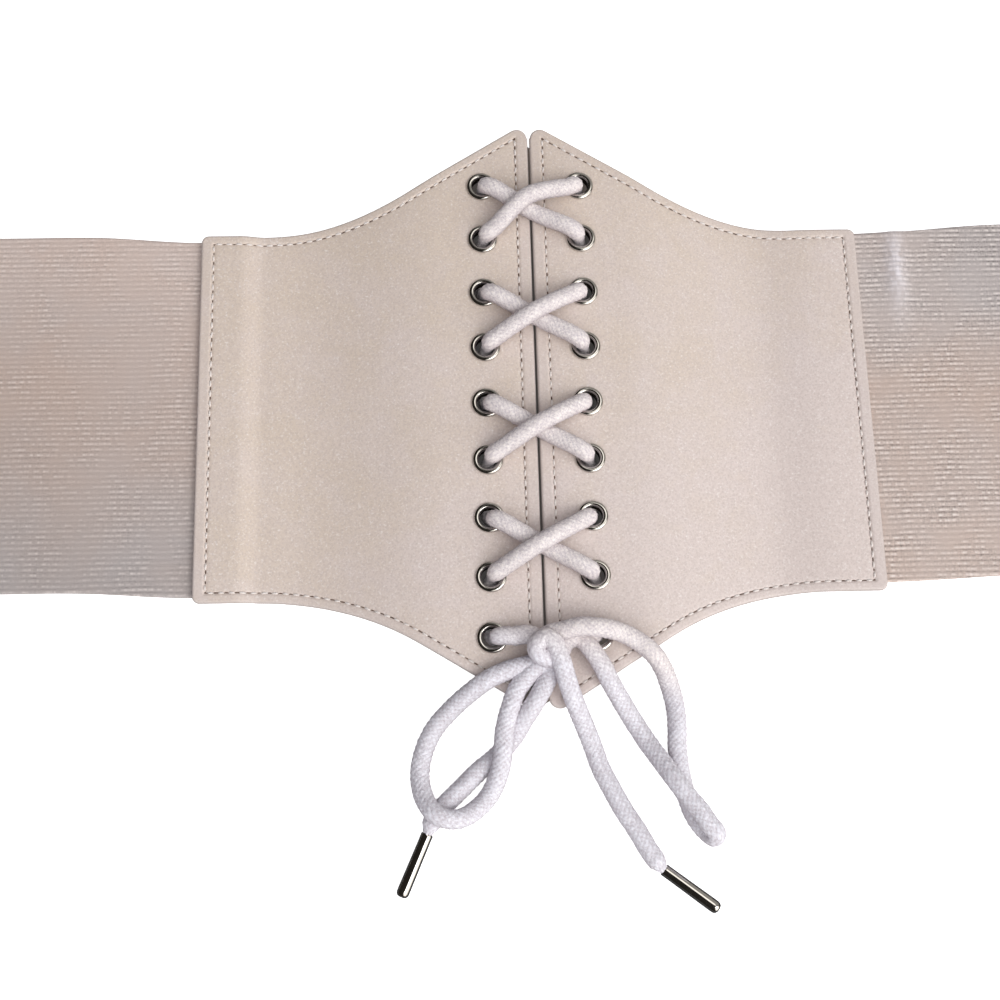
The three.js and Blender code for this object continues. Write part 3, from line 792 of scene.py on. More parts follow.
def elastic_finish(settings):
    """Ribbed elastic: rows of bright yarns of uneven length over a fine ground, with cloudy tone and
    painted light and shade.
    """
    material, tree, shader = new_finish(
        "woven_elastic", Roughness=0.5, Sheen_Weight=0.1, Sheen_Roughness=0.4)
    place = weave_place(tree)
    parts = split_place(tree, place)

    def counted(axis, pitch):
        return add_math(tree, "DIVIDE", parts[axis], pitch)

    sway = add_drift(tree, place, 25 * MM)
    rows = scaled(tree, sway, 0.2, counted("Y", settings.rib_pitch))
    wave = add_wave(tree, rows)
    crest = add_math(tree, "POWER", wave, 2.4)
    gap = add_math(tree, "POWER", add_math(tree, "SUBTRACT", 1.0, wave), 3.0)
    row = times(tree, add_math(tree, "FLOOR", rows), 5.37)
    yarns = add_noise(tree, counted("X", settings.yarn_pitch), row, 2.0)
    columns = add_wave(tree, scaled(tree, sway, 0.8, counted("X", settings.yarn_pitch)))
    streaks = add_noise(tree, counted("X", 1.2 * MM), counted("Y", 0.4 * MM), 1.0)
    uprights = add_noise(tree, counted("X", 0.6 * MM), counted("Y", 3 * MM), 1.0)
    strength = scaled(tree, add_drift(tree, place, 15 * MM), 1.2, 0.15)
    reach = times(tree, read_value(tree, "bold"), strength)
    greyness = scaled(tree, add_drift(tree, place, 34 * MM), 0.4, read_value(tree, "grey"))
    ground = mix_colours(tree, greyness, settings.warm, settings.cool)
    # Partly painted: the bright yarn dashes on the rib crests carry painted highlight, and the gaps
    # between ribs painted shade.
    dashes = times(tree, crest, add_range(tree, yarns, 0.42, 0.6))
    lit = times(tree, dashes, scaled(tree, columns, 0.5, 0.6))
    woven = scaled(tree, lit, 0.25, times(tree, gap, scaled(tree, yarns, -0.7, -0.02)))
    speckle = scaled(tree, uprights, 0.35, scaled(tree, streaks, 0.55, -0.45))
    pattern = times(tree, reach, add_math(tree, "ADD", woven, speckle))
    # Painted light and shade: the band is made paler or darker in broad sweeps, as light falls on it.
    painted_shading_factor = scaled(tree, read_value(tree, "fade"), 0.6, 0.7)
    paleness = times(tree, add_math(tree, "ADD", pattern, 1.0), painted_shading_factor)
    plain = mix_colours(tree, 1.0, ground, paleness, "MULTIPLY")
    gleaming = times(tree, times(tree, lit, reach), 0.75)
    toned = mix_colours(tree, gleaming, plain, settings.gleam)
    # Painted highlight: a glint of lighter yarn colour along the ridge beside the right panel.
    painted_ridge_glint = times(tree, read_value(tree, "painted_glint_mask"), scaled(tree, yarns, 1.2, -0.1))
    tree.links.new(mix_colours(tree, painted_ridge_glint, toned, settings.painted_ridge_glint), shader.inputs["Base Color"])
    height = scaled(tree, streaks, 0.8, add_math(tree, "ADD", lit, wave))
    add_bump(tree, height, 0.35, settings.rib_height, shader)
    return material


def lace_finish(settings):
    """Braided cotton: uneven strands, loose fibres, painted shade in the gaps and underneath, and painted
    light, warm on the lacing and cool on the bow.
    """
    material, tree, shader = new_finish("braided_cotton", Roughness=0.9, Sheen_Weight=0.03)
    place = weave_place(tree)
    fluff, hairs = add_fibres(tree, place, 0.9 * MM)
    where = split_place(tree, object_place(tree))
    # Painted light: the lacing is warmer, as if lit by warm light off the leather, and the bow's cords
    # cooler.
    down = scaled(tree, where["X"], 0.3, where["Y"])
    cotton = mix_colours(tree, add_range(tree, down, -0.079, -0.09), settings.cotton, settings.painted_cool_cotton)
    flecks = add_node(tree, "ShaderNodeTexNoise", {"Scale": 1 / (0.6 * MM), "Detail": 1.0})
    tree.links.new(place, flecks.inputs["Vector"])
    uneven = scaled(tree, fluff, 0.9, scaled(tree, flecks.outputs["Fac"], 1.2, -0.8))
    # Painted shade in the gaps between the strands, mixed with random tone of the braid cells.
    share = scaled(tree, read_value(tree, "relief"), 0.7, uneven)
    strands = mix_colours(tree, share, settings.shade, cotton)
    haired = mix_colours(tree, times(tree, hairs, 0.5), strands, settings.hair)
    # Painted shade: the strands darken on their sides and underside, away from the light above.
    under = times(tree, add_math(tree, "POWER", read_value(tree, "painted_underside_shade"), 2.2), 0.65)
    tree.links.new(mix_colours(tree, under, haired, settings.shade), shader.inputs["Base Color"])
    add_bump(tree, fluff, 0.8, 0.3 * MM, shader)
    return material


def metal_finish(settings):
    """Polished nickel with faint wear in its polish, and painted shade inside an eyelet's barrel: near
    black and rough.
    """
    material, tree, shader = new_finish("polished_nickel", Metallic=1.0, Specular_IOR_Level=0.08)
    drift = add_drift(tree, object_place(tree), 3 * MM)
    barrel = read_value(tree, "barrel")
    polished = mix_colours(tree, drift, darker(settings.bright, 0.8), settings.bright)
    tree.links.new(mix_colours(tree, barrel, polished, settings.barrel), shader.inputs["Base Color"])
    tree.links.new(add_math(tree, "SUBTRACT", 1.0, barrel), shader.inputs["Metallic"])
    rough = scaled(tree, drift, 0.06, settings.roughness)
    tree.links.new(scaled(tree, barrel, 0.9, rough), shader.inputs["Roughness"])
    return material


def pile_finish():
    """Hook-and-loop tape in a matching beige."""
    return fibre_finish(
        "fastener_tape", (0.52, 0.45, 0.40, 1), (0.74, 0.67, 0.61, 1), 0.8 * MM, 0.6, 0.2 * MM, 0.9)


def finish_named(name, maker, *values):
    """A material, made the first time it is asked for."""
    return bpy.data.materials.get(name) or maker(*values)


# Leather

def seam_share(distance, height, left, right, top, bottom, slope, insets):
    """Each place's distance from its nearest edge, as a share of the seam's inset there."""
    edge_inset, left_inset, right_inset = insets
    level = np.cos(np.arctan(slope))
    shares = [
        (top - height) * level / edge_inset,
        (height - bottom) * level / edge_inset,
        (distance - left) / left_inset,
        (right - distance) / right_inset,
    ]
    return np.minimum.reduce(shares)


def seam_groove(share, settings):
    """How deep the thread pulls the leather in near a seam."""
    return settings.groove_depth * np.exp(-((share - 1) / 0.11) ** 2)


def seam_relief(share, settings):
    """Height of the leather's face near a seam: turned edge, thread groove and settled field."""
    raised = settings.edge_raise * (1 - ease(share, 0.78, 0.98))
    settled = 0.1 * MM * np.exp(-np.abs(share - 1) / 0.4) * (share > 1)
    return raised - seam_groove(share, settings) - settled


def rounding(off_edge, radius):
    """How far a face falls back near an edge that is rounded to a radius."""
    return radius - np.sqrt(radius ** 2 - np.maximum(radius - off_edge, 0) ** 2)


def leather_wall(name, side, extent, edges, levels, insets, holes, spacing, settings):
    """A leather piece: a grid cut to its pattern, holed, thickened, and shaped on both faces."""
    left, right = extent
    top_edge, bottom_edge = edges
    distances = graded(left, right, spacing)
    tops = top_edge(distances)
    bottoms = bottom_edge(distances)
    tallest = np.argmax(tops - bottoms)
    shares = graded(0, tops[tallest] - bottoms[tallest], spacing)
    reach = EDGE_LINES[-1]
    middle = np.clip((shares - reach) / (shares[-1] - 2 * reach), 0, 1)
    piece, column, row = grid_piece(name, len(distances), len(shares))
    low_line = np.minimum(shares[row], reach)
    high_line = np.minimum(shares[-1] - shares[row], reach)
    span = tops[column] - bottoms[column] - 2 * reach
    height = bottoms[column] + low_line + middle[row] * span + (reach - high_line)
    distance = distances[column]
    write_places(piece, np.stack([distance, height, np.zeros_like(height)], axis=1))
    for hole_x, hole_y, hole_radius in holes:
        cut_hole(piece, hole_x, hole_y, hole_radius)
    thicken(piece, PANEL_WALL)
    shape_wall(piece, distances, tops, bottoms, levels, insets, holes, settings)
    places = read_places(piece)
    places[:, 0] *= side
    write_places(piece, places)
    if side < 0:
        piece.data.flip_normals()
    take_up(piece)
    bpy.ops.object.shade_smooth()
    return piece


def cut_hole(piece, hole_x, hole_y, hole_radius):
    """Deletes the faces within a round hole and moves its rim onto the circle."""
    centres = np.empty(len(piece.data.polygons) * 3)
    piece.data.polygons.foreach_get("center", centres)
    centres = centres.reshape(-1, 3)
    inside = np.hypot(centres[:, 0] - hole_x, centres[:, 1] - hole_y) < hole_radius
    edit_chosen(piece, "FACE", inside)
    bpy.ops.mesh.delete(type="FACE")
    bpy.ops.object.mode_set(mode="OBJECT")
    rim = boundary_vertices(piece)
    places = read_places(piece)
    offset = places[:, :2] - (hole_x, hole_y)
    away = np.hypot(offset[:, 0], offset[:, 1])
    near = rim & (away < 2 * hole_radius)
    places[near, :2] = (hole_x, hole_y) + offset[near] * (hole_radius / away[near])[:, None]
    write_places(piece, places)


def boundary_vertices(piece):
    """Which vertices lie on an edge that only one face uses."""
    mesh = piece.data
    edges = np.empty(len(mesh.loops), int)
    mesh.loops.foreach_get("edge_index", edges)
    ends = np.empty(len(mesh.edges) * 2, int)
    mesh.edges.foreach_get("vertices", ends)
    single = np.bincount(edges, minlength=len(mesh.edges)) == 1
    found = np.zeros(len(mesh.vertices), bool)
    found[ends.reshape(-1, 2)[single].ravel()] = True
    return found


def shape_wall(piece, distances, tops, bottoms, levels, insets, holes, settings):
    """Sets the heights of both faces: bend, rounded edges, seams and slight unevenness."""
    places = read_places(piece)
    half = len(places) // 2
    distance, height = places[:half, 0], places[:half, 1]
    outline = np.concatenate([
        np.stack([distances, tops], axis=1), np.stack([distances, bottoms], axis=1)[::-1]])
    off_edge = distance_to_outline(places[:half, :2], outline)
    slope = np.gradient(tops, distances)
    share = seam_share(
        distance, height, distances[0], distances[-1], np.interp(distance, distances, tops),
        np.interp(distance, distances, bottoms), np.interp(distance, distances, slope), insets)
    relief = seam_relief(share, settings)
    uneven = 0.14 * MM * soft_waves(distance, height, 11, 45 * MM) * ease(share, 1.2, 4)
    for hole_x, hole_y, hole_radius in holes:
        away = np.hypot(distance - hole_x, height - hole_y)
        relief -= 0.16 * MM * np.exp(-((away - hole_radius) / (2.2 * MM)) ** 2)
    underside, face = levels
    places[:half, 2] = face(distance) + relief + uneven - rounding(off_edge, 0.8 * MM)
    places[half:, 2] = underside(distance) + seam_groove(share, settings) + rounding(off_edge, 0.7 * MM)
    write_places(piece, places)
    # The seam mask carries painted shade along the thread's groove, half as strong underneath.
    seam = np.exp(-((share - 1.02) / 0.09) ** 2)
    by_side = np.minimum(distance - distances[0], distances[-1] - distance) < EDGE_LINES[-1] * 0.8
    strip = (1 - ease(share, 0.7, 1.0)) * np.where(by_side, 1, 0.35)
    cut = np.exp(-(off_edge / (0.45 * MM)) ** 2)
    store_values(piece, "seam", np.concatenate([seam, 0.5 * seam]))
    store_values(piece, "strip", np.tile(strip, 2))
    store_values(piece, "cut", np.tile(cut, 2))


def ball_template(cuts):
    """A unit ball of four-cornered faces, modelled once, as places and faces."""
    deselect_all()
    bpy.ops.mesh.primitive_cube_add(size=2)
    piece = bpy.context.object
    bpy.ops.object.mode_set(mode="EDIT")
    bpy.ops.mesh.subdivide(number_cuts=cuts)
    bpy.ops.transform.tosphere(value=1)
    bpy.ops.object.mode_set(mode="OBJECT")
    places = read_places(piece)
    corners = read_corners(piece)
    bpy.data.objects.remove(piece)
    return places / np.linalg.norm(places, axis=1)[:, None], corners.reshape(-1, 4)


def stitch_template(settings):
    """One stitch as places along, across and up, and its faces: a thread dipping at both ends."""
    places, faces = ball_template(2)
    along = places[:, 0]
    fullness = settings.thread_radius * (1.02 - along ** 2) ** -0.2
    rise = 0.26 * MM * (1 - along ** 2) - 0.04 * MM
    return np.stack([
        along * settings.stitch_length / 2, 1.15 * fullness * places[:, 1],
        rise + fullness * places[:, 2]], axis=1), faces


def needle_hole_shade_template():
    """One needle hole's painted shade as a low dark oval, and its faces."""
    places, faces = ball_template(2)
    return places * (0.66 * MM, 0.36 * MM, 0.1 * MM) - (0, 0, 0.03 * MM), faces


def ring_faces(rings, sides):
    """Faces between the rings of a tube, with both of its ends closed by fans of quads."""
    faces = []
    for ring in range(rings - 1):
        for i in range(sides):
            after = (i + 1) % sides
            faces.append((
                ring * sides + i, ring * sides + after,
                (ring + 1) * sides + after, (ring + 1) * sides + i))
    last = (rings - 1) * sides
    for i in range(0, sides - 2, 2):
        faces.append((0, (i + 3) % sides, i + 2, i + 1))
        faces.append((last, last + i + 1, last + i + 2, last + (i + 3) % sides))
    return faces


def run_marks(run, pitch):
    """Stitch middles and needle holes along a run, each as place and heading."""
    along = distance_along(run)
    count = max(1, round(along[-1] / pitch))
    spacing = along[-1] / count
    near = 0.2 * MM

    def at(marks):
        heading = places_at(marks + near, along, run) - places_at(marks - near, along, run)
        return places_at(marks, along, run), heading / np.linalg.norm(heading, axis=1)[:, None]

    return at((np.arange(count) + 0.5) * spacing), at(np.arange(count + 1) * spacing)


def turned(x, y, angle):
    """Places or directions in the plane, turned by an angle."""
    return x * np.cos(angle) - y * np.sin(angle), x * np.sin(angle) + y * np.cos(angle)


def copy_along(template, faces, places, headings, surface, upwards, jitter, sizes):
    """Copies of a template laid along a surface, at places with headings."""
    all_places = []
    all_faces = []
    for i, (place, heading) in enumerate(zip(places, headings)):
        turn = jitter[i]
        ahead = np.array(turned(*heading, turn))
        across = np.array((-ahead[1], ahead[0]))
        flat = place + sizes[i] * (template[:, :1] * ahead + template[:, 1:2] * across)
        level = surface(np.abs(flat[:, 0])) + upwards * template[:, 2]
        all_places.append(np.column_stack([flat, level]))
        all_faces.append(faces + i * len(template))
    return np.vstack(all_places), np.vstack(all_faces)


def stitch_piece(name, runs, faces_up, settings):
    """All of a piece's stitches and the painted shade of its needle holes as one mesh, on the given
    surfaces.
    """
    draw = np.random.default_rng(5)
    thread, thread_faces = stitch_template(settings)
    hole, hole_faces = needle_hole_shade_template()
    places = []
    faces = []
    indices = []
    total = 0
    for surface, upwards in faces_up:
        for i, run in enumerate(runs):
            middles, holes = run_marks(run, settings.stitch_pitch)
            widest = 1.45 if i < 2 else 1.1
            for template, base, marks, index in (
                    (thread, thread_faces, middles, 0), (hole, hole_faces, holes, 1)):
                count = len(marks[0])
                jitter = draw.normal(0, 0.07, count)
                least, most = (0.6 * widest, widest) if index else (0.92, 1.08)
                sizes = draw.uniform(least, most, count)
                laid, laid_faces = copy_along(template, base, *marks, surface, upwards, jitter, sizes)
                if upwards < 0:
                    laid_faces = laid_faces[:, ::-1]
                places.append(laid)
                faces.append(laid_faces + total)
                indices += [index] * len(laid_faces)
                total += len(laid)
    finishes = [
        finish_named("sewing_thread", thread_finish, settings.thread),
        finish_named("needle_hole_shade", needle_hole_shade_finish)]
    piece = mesh_piece(name, np.vstack(places), np.vstack(faces), finishes, indices)
    dress(piece, "leather")


def seam_runs(side, extent, edges, insets):
    """The four straight or curved runs of a piece's seam."""
    left, right = extent
    edge_inset, left_inset, right_inset = insets
    x = np.linspace(left, right, 600)
    top = edges[0](x)
    bottom = edges[1](x)
    slope = np.gradient(top, x)
    level = np.cos(np.arctan(slope))
    inner_x = x + np.sin(np.arctan(slope)) * edge_inset
    seam_top = top - level * edge_inset
    seam_bottom = bottom + level * edge_inset
    kept = (inner_x > left + left_inset) & (inner_x < right - right_inset)
    upper = np.stack([inner_x[kept], seam_top[kept]], axis=1)
    lower = np.stack([inner_x[kept], seam_bottom[kept]], axis=1)
    inner = np.array([[left + left_inset, upper[0, 1]], [left + left_inset, lower[0, 1]]])
    outer = np.array([[right - right_inset, upper[-1, 1]], [right - right_inset, lower[-1, 1]]])
    return [run * (side, 1) for run in (upper, lower, inner, outer)]


def declare_leather(extent, edges):
    """Works out the leather's heights along its extent and does nothing more with them."""
    x = np.linspace(extent[0], extent[1], 400)
    heights = edges[0](x) - edges[1](x)


def eyelet_middle(node):
    """Where the middle of an eyelet is in the plane."""
    low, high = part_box(node)
    return (low[0] + high[0]) / 2, (low[1] + high[1]) / 2


# Metal

def eyelet_section():
    """Half section of an eyelet, as radius and height: barrel, rolled rim and washer."""
    rim_inner = BORE_RADIUS - 0.05 * MM
    rim_outer = 5.15 * MM
    rim_middle = (rim_inner + rim_outer) / 2
    rim_half = rim_outer - rim_middle
    rim_rise = 0.85 * MM
    rim_base = FLANGE_TOP - rim_rise
    section = [(BORE_RADIUS + 0.02 * MM, WASHER_BOTTOM + 0.1 * MM), (BORE_RADIUS, rim_base - 0.4 * MM)]
    steps = 12
    for i in range(steps + 1):
        turn = math.pi * (1 - i / steps)
        side = math.copysign(abs(math.cos(turn)) ** 0.85, math.cos(turn))
        section.append((rim_middle + rim_half * side, rim_base + rim_rise * math.sin(turn) ** 0.85))
    barrel = BORE_RADIUS + 0.38 * MM
    washer = [(barrel / MM, 0.55), (4.55, 0.5), (4.7, 0.28), (4.55, 0.05), (3.9, 0)]
    section += [(rim_outer - 0.1 * MM, PANEL_TOP + 0.02 * MM), (barrel, PANEL_TOP - 0.05 * MM)]
    return section + [(radius * MM, WASHER_BOTTOM + height * MM) for radius, height in washer]


def turned_piece(name, section, steps):
    """A closed section spun a whole turn about the vertical axis."""
    deselect_all()
    bpy.ops.mesh.primitive_circle_add(vertices=len(section), radius=1 * MM)
    piece = bpy.context.object
    piece.name = name
    piece.data.name = name
    write_places(piece, [(radius, 0, height) for radius, height in section])
    edit_all(piece)
    bpy.ops.mesh.spin(steps=steps, angle=2 * math.pi, center=(0, 0, 0), axis=(0, 0, 1))
    bpy.ops.object.mode_set(mode="OBJECT")
    face_outwards(piece)
    edit_all(piece)
    bpy.ops.mesh.delete_loose()
    bpy.ops.object.mode_set(mode="OBJECT")
    take_up(piece)
    bpy.ops.object.shade_smooth_by_angle(angle=math.radians(50))
    return piece


def make_aglet(side_name, end):
    """A metal sleeve with a rounded tip, laid past its lace end."""
    tip = AGLET_LENGTH / MM
    section = [
        (0.0, 2.0), (1.5, 2.0), (1.5, 0.0), (1.84, 0.0), (1.95, 0.3), (1.92, 0.9), (1.91, 2.4),
        (1.94, 7.0), (1.99, 13.0), (2.04, tip - 2.6), (2.02, tip - 1.5), (1.86, tip - 0.8),
        (1.45, tip - 0.3), (0.8, tip - 0.04), (0.0, tip)]
    name = f"aglet_sleeve_{side_name}"
    piece = turned_piece(name, [(radius * MM, along * MM) for radius, along in section], 40)
    piece.data.materials.append(
        finish_named("polished_nickel", metal_finish, bpy.context.scene.belt_metal))
    heading = Vector(AGLET_HEADINGS[side_name] + (0,)).normalized()
    seat = Vector((end[0], end[1], 0)) + heading * AGLET_SEAT
    seat.z = AGLET_TIP_RADIUS + CLEARANCE
    turn = heading.to_track_quat("Z", "Y").to_matrix().to_4x4()
    piece.data.transform(Matrix.Translation(seat) @ turn)
    dress(piece, "nickel", f"aglet_{side_name}")
    return piece, seat, heading


# Lace

def braid_height(turn, along, strands, pitch):
    """Relief and tone of a braid between 0 and 1: two families of strands crossing over and under."""
    first = turn * strands + along / pitch
    second = turn * strands - along / pitch
    over = (np.floor(first) + np.floor(second)) % 2 == 0
    rise_first = np.sin(np.pi * (first % 1))
    rise_second = np.sin(np.pi * (second % 1))
    crown_first = rise_first * (0.3 + 0.7 * rise_second)
    crown_second = rise_second * (0.3 + 0.7 * rise_first)
    cells = 4096
    chance = np.random.default_rng(17).uniform(0, 1, cells)
    around = np.floor(first).astype(int) % strands
    level = np.floor(second).astype(int)
    tone = chance[(around * 131 + level * 17) % cells]
    return np.where(over, crown_first, crown_second), tone


def braided_tube(name, path, radii, settings, sides):
    """A tube with a braided surface along a path, closed at both ends."""
    across, up = path_frames(path)
    grid_turn, grid_along = np.meshgrid(np.arange(sides) / sides, distance_along(path))
    relief, tone = braid_height(grid_turn, grid_along, settings.strands, settings.braid_pitch)
    radius = radii[:, None] + settings.braid_depth * (relief - 0.75 + 0.5 * (tone - 0.5))
    angle = 2 * np.pi * grid_turn
    places = path[:, None, :] + radius[..., None] * (
        np.cos(angle)[..., None] * across[:, None, :] + np.sin(angle)[..., None] * up[:, None, :])
    piece = mesh_piece(name, places.reshape(-1, 3), ring_faces(len(path), sides), [
        finish_named("braided_cotton", lace_finish, settings)])
    face_outwards(piece)
    store_values(piece, "relief", (0.7 * relief + 0.4 * tone - 0.05).ravel())
    # Painted shade on the underside: how far each point faces away from straight up.
    raised = np.cos(angle) * across[:, 2:] + np.sin(angle) * up[:, 2:]
    store_values(piece, "painted_underside_shade", 1 - np.maximum(raised, 0).ravel())
    store_uv(piece, (grid_turn * 2 * np.pi * CORD_RADIUS).ravel(), grid_along.ravel())
    take_up(piece)
    bpy.ops.object.shade_smooth()
    return piece


def eyelet_pass(place, behind, ahead):
    """The lace's way up through an eyelet, drawn over towards its next place."""
    place = np.array(place)

    def unit(target):
        offset = np.array(target[:2]) - place
        return offset / np.hypot(*offset)

    back = unit(behind)
    front = unit(ahead)
    bend = LACE_BEND * (1 - math.sqrt(0.5))
    arch = LACE_BEND * math.sqrt(0.5)
    pulled = 1.1 * MM

    def at(heading, reach, height):
        flat = place + heading * reach
        return (flat[0], flat[1], height)

    return [
        at(back, LACE_BEND, BACK_RUN_HEIGHT),
        at(back, bend, BEND_BOTTOM - arch),
        at(front, 0.6 * pulled, BEND_BOTTOM),
        at(front, pulled, BEND_TOP),
        at(front, pulled + bend, BEND_TOP + arch),
        at(front, pulled + LACE_BEND, FRONT_HEIGHT),
    ]


def lacing_half(side):
    """Half of the lacing's route, from behind the top row down to a lowest eyelet."""
    names = {1: "right", -1: "left"}

    def place(column, row):
        return eyelet_middle(f"eyelet_{names[column]}_{row}")

    def back_middle(first, second):
        return ((first[0] + second[0]) / 2, (first[1] + second[1]) / 2, BACK_RUN_HEIGHT)

    route = []
    column = side
    for row in range(1, EYELET_ROWS, 2):
        upper = place(column, row)
        lower = place(-column, row + 1)
        behind_upper = place(-column, row) if row == 1 else place(column, row - 1)
        behind_lower = place(-column, row + 2)
        crossing = UPPER_CROSSING if column > 0 else LOWER_CROSSING
        slack = LACE_SLACK.get((names[column], row), (0, 0))
        route.append(back_middle(upper, behind_upper))
        route += eyelet_pass(upper, behind_upper, lower)
        route.append((slack[0], (upper[1] + lower[1]) / 2 + slack[1], crossing))
        route += eyelet_pass(lower, behind_lower, upper)[::-1]
        column = -column
    last = place(column, EYELET_ROWS)
    above = place(column, EYELET_ROWS - 1)
    free = STRAND_RIGHT if column > 0 else STRAND_LEFT
    route.append(back_middle(last, above))
    return route + eyelet_pass(last, above, free[1]) + [free[1]]


def lacing_radii(path):
    """The lace is squeezed where it goes through an eyelet and full between them."""
    height = path[:, 2]
    squeezed = 2.15 * MM
    full = 3.05 * MM
    in_front = ease(height, BEND_TOP - 1 * MM, FRONT_HEIGHT - 0.5 * MM)
    behind = 1 - ease(height, BACK_RUN_HEIGHT + 0.3 * MM, BEND_BOTTOM)
    radii = squeezed + (full - squeezed) * in_front + (LACE_RADIUS - squeezed) * behind
    from_end = np.minimum(
        np.linalg.norm(path - path[0], axis=1), np.linalg.norm(path - path[-1], axis=1))
    return radii - JOINT_TAPER * (1 - ease(from_end, 0, 2.5 * MM))


class BELT_OT_studio(bpy.types.Operator):
    """Places the camera, floor, soft lights and surround"""
    bl_idname = "belt.studio"
    bl_label = "Studio"

    def execute(self, context):
        settings = context.scene.belt_studio
        backward = Vector(CAMERA_BACKWARD).normalized()
        right = Vector(CAMERA_UP).cross(backward).normalized()
        up = backward.cross(right)
        lens = bpy.data.cameras.new("studio_camera")
        lens.sensor_width = CAMERA_SENSOR
        lens.lens = CAMERA_LENS
        lens.clip_start = 0.01
        camera = bpy.data.objects.new("studio_camera", lens)
        context.scene.collection.objects.link(camera)
        turn = Matrix((right, up, backward)).transposed().to_4x4()
        camera.matrix_world = Matrix.Translation(CAMERA_PLACE) @ turn
        context.scene.camera = camera
        context.scene.view_settings.view_transform = "Standard"
        self.add_floor(context)
        self.add_light("key_light", (0.62, -0.55, 0.95), 0.6, settings.key_power, (1, 0.992, 0.985))
        fill = self.add_light(
            "fill_light", (-0.35, -0.55, 0.9), 0.8, settings.fill_power, (0.95, 0.96, 1))
        fill.visible_glossy = False
        self.add_surround(context, settings.surround)
        return {"FINISHED"}

    def add_floor(self, context):
        """A white surface under the belt, with painted shade beneath the panels and dark grey where metal
        mirrors it.
        """
        deselect_all()
        bpy.ops.mesh.primitive_plane_add(size=FLOOR_SIZE, location=(0, 0, -FLOOR_DROP))
        floor = context.object
        floor.name = "floor"
        material, tree, shader = new_finish("white_surface", Roughness=0.9)
        shader.inputs["Base Color"].default_value = (0.9, 0.9, 0.9, 1)
        shader.inputs["Specular IOR Level"].default_value = 0.1
        shader.inputs["Emission Color"].default_value = (1, 1, 1, 1)
        # Painted shade: under the panels the floor is dark brown and hardly glows, and in reflections the
        # whole floor is dark grey.
        place = split_place(tree, object_place(tree))
        along = add_math(tree, "ABSOLUTE", place["X"])
        up = add_math(tree, "ABSOLUTE", place["Y"])
        reach = scaled(tree, along, math.tan(TIP_SLOPE), up)
        past_tips = add_math(tree, "GREATER_THAN", reach, PANEL_PEAK - 2 * MM)
        past_middle = add_math(tree, "GREATER_THAN", along, 60 * MM)
        open_floor = add_math(tree, "MAXIMUM", past_tips, past_middle)
        path = tree.nodes.new("ShaderNodeLightPath")
        glow = times(tree, path.outputs["Is Camera Ray"], scaled(tree, open_floor, 0.865, 0.035))
        shaded = mix_colours(tree, open_floor, (0.26, 0.20, 0.165, 1), (0.9, 0.9, 0.9, 1))
        toned = mix_colours(tree, path.outputs["Is Glossy Ray"], shaded, (0.07, 0.07, 0.07, 1))
        tree.links.new(toned, shader.inputs["Base Color"])
        tree.links.new(glow, shader.inputs["Emission Strength"])
        floor.data.materials.append(material)

    def add_light(self, name, place, size, power, tint):
        """A square soft light aimed at the belt."""
        lamp = bpy.data.lights.new(name, "AREA")
        lamp.color = tint
        lamp.size = size
        lamp.energy = power
        light = bpy.data.objects.new(name, lamp)
        bpy.context.scene.collection.objects.link(light)
        light.location = place
        light.rotation_euler = (-Vector(place)).to_track_quat("-Z", "Y").to_euler()
        return light

    def add_surround(self, context, strength):
        """Pale light from all round, darker on one side so that metal has something to mirror."""
        world = bpy.data.worlds.new("pale_surround")
        world.use_nodes = True
        context.scene.world = world
        tree = world.node_tree
        seen = tree.nodes["Background"]
        seen.inputs["Color"].default_value = (1, 1, 1, 1)
        seen.inputs["Strength"].default_value = 1.0
        soft = add_node(tree, "ShaderNodeBackground", {"Strength": strength})
        direction = tree.nodes.new("ShaderNodeTexCoord").outputs["Generated"]
        glow = self.toward(tree, direction, (0.735, -0.534, 0.415), -0.35, 0.95)
        lit = mix_colours(tree, glow, (0.070, 0.064, 0.088, 1), (1.5, 1.49, 1.5, 1))
        panel = self.toward(tree, direction, (0.66, -0.56, 0.50), 0.72, 0.9)
        strip = self.toward(tree, direction, (0.30, 0.24, 0.92), 0.96, 0.985)
        wall = self.toward(tree, direction, (0.55, 0.70, 0.45), 0.6, 0.95)
        bright = add_math(tree, "MAXIMUM", panel, strip)
        bright = add_math(tree, "MAXIMUM", bright, times(tree, wall, 0.2))
        mirrored = mix_colours(tree, bright, (0.03, 0.026, 0.022, 1), (2.2, 2.1, 1.95, 1))
        path = tree.nodes.new("ShaderNodeLightPath")
        either = tree.nodes.new("ShaderNodeMixShader")
        surround = mix_colours(tree, path.outputs["Is Glossy Ray"], lit, mirrored)
        tree.links.new(surround, soft.inputs["Color"])
        tree.links.new(path.outputs["Is Camera Ray"], either.inputs[0])
        tree.links.new(soft.outputs[0], either.inputs[1])
        tree.links.new(seen.outputs[0], either.inputs[2])
        tree.links.new(either.outputs[0], tree.nodes["World Output"].inputs["Surface"])

    def toward(self, tree, direction, aim, start, end):
        """A value that grows from 0 to 1 as the direction turns to the aim."""
        facing = add_node(tree, "ShaderNodeVectorMath", operation="DOT_PRODUCT")
        facing.inputs[1].default_value = aim
        tree.links.new(direction, facing.inputs[0])
        ends = {"From Min": start, "From Max": end}
        spread = add_node(tree, "ShaderNodeMapRange", ends, interpolation_type="SMOOTHSTEP")
        tree.links.new(facing.outputs["Value"], spread.inputs["Value"])
        return spread.outputs["Result"]


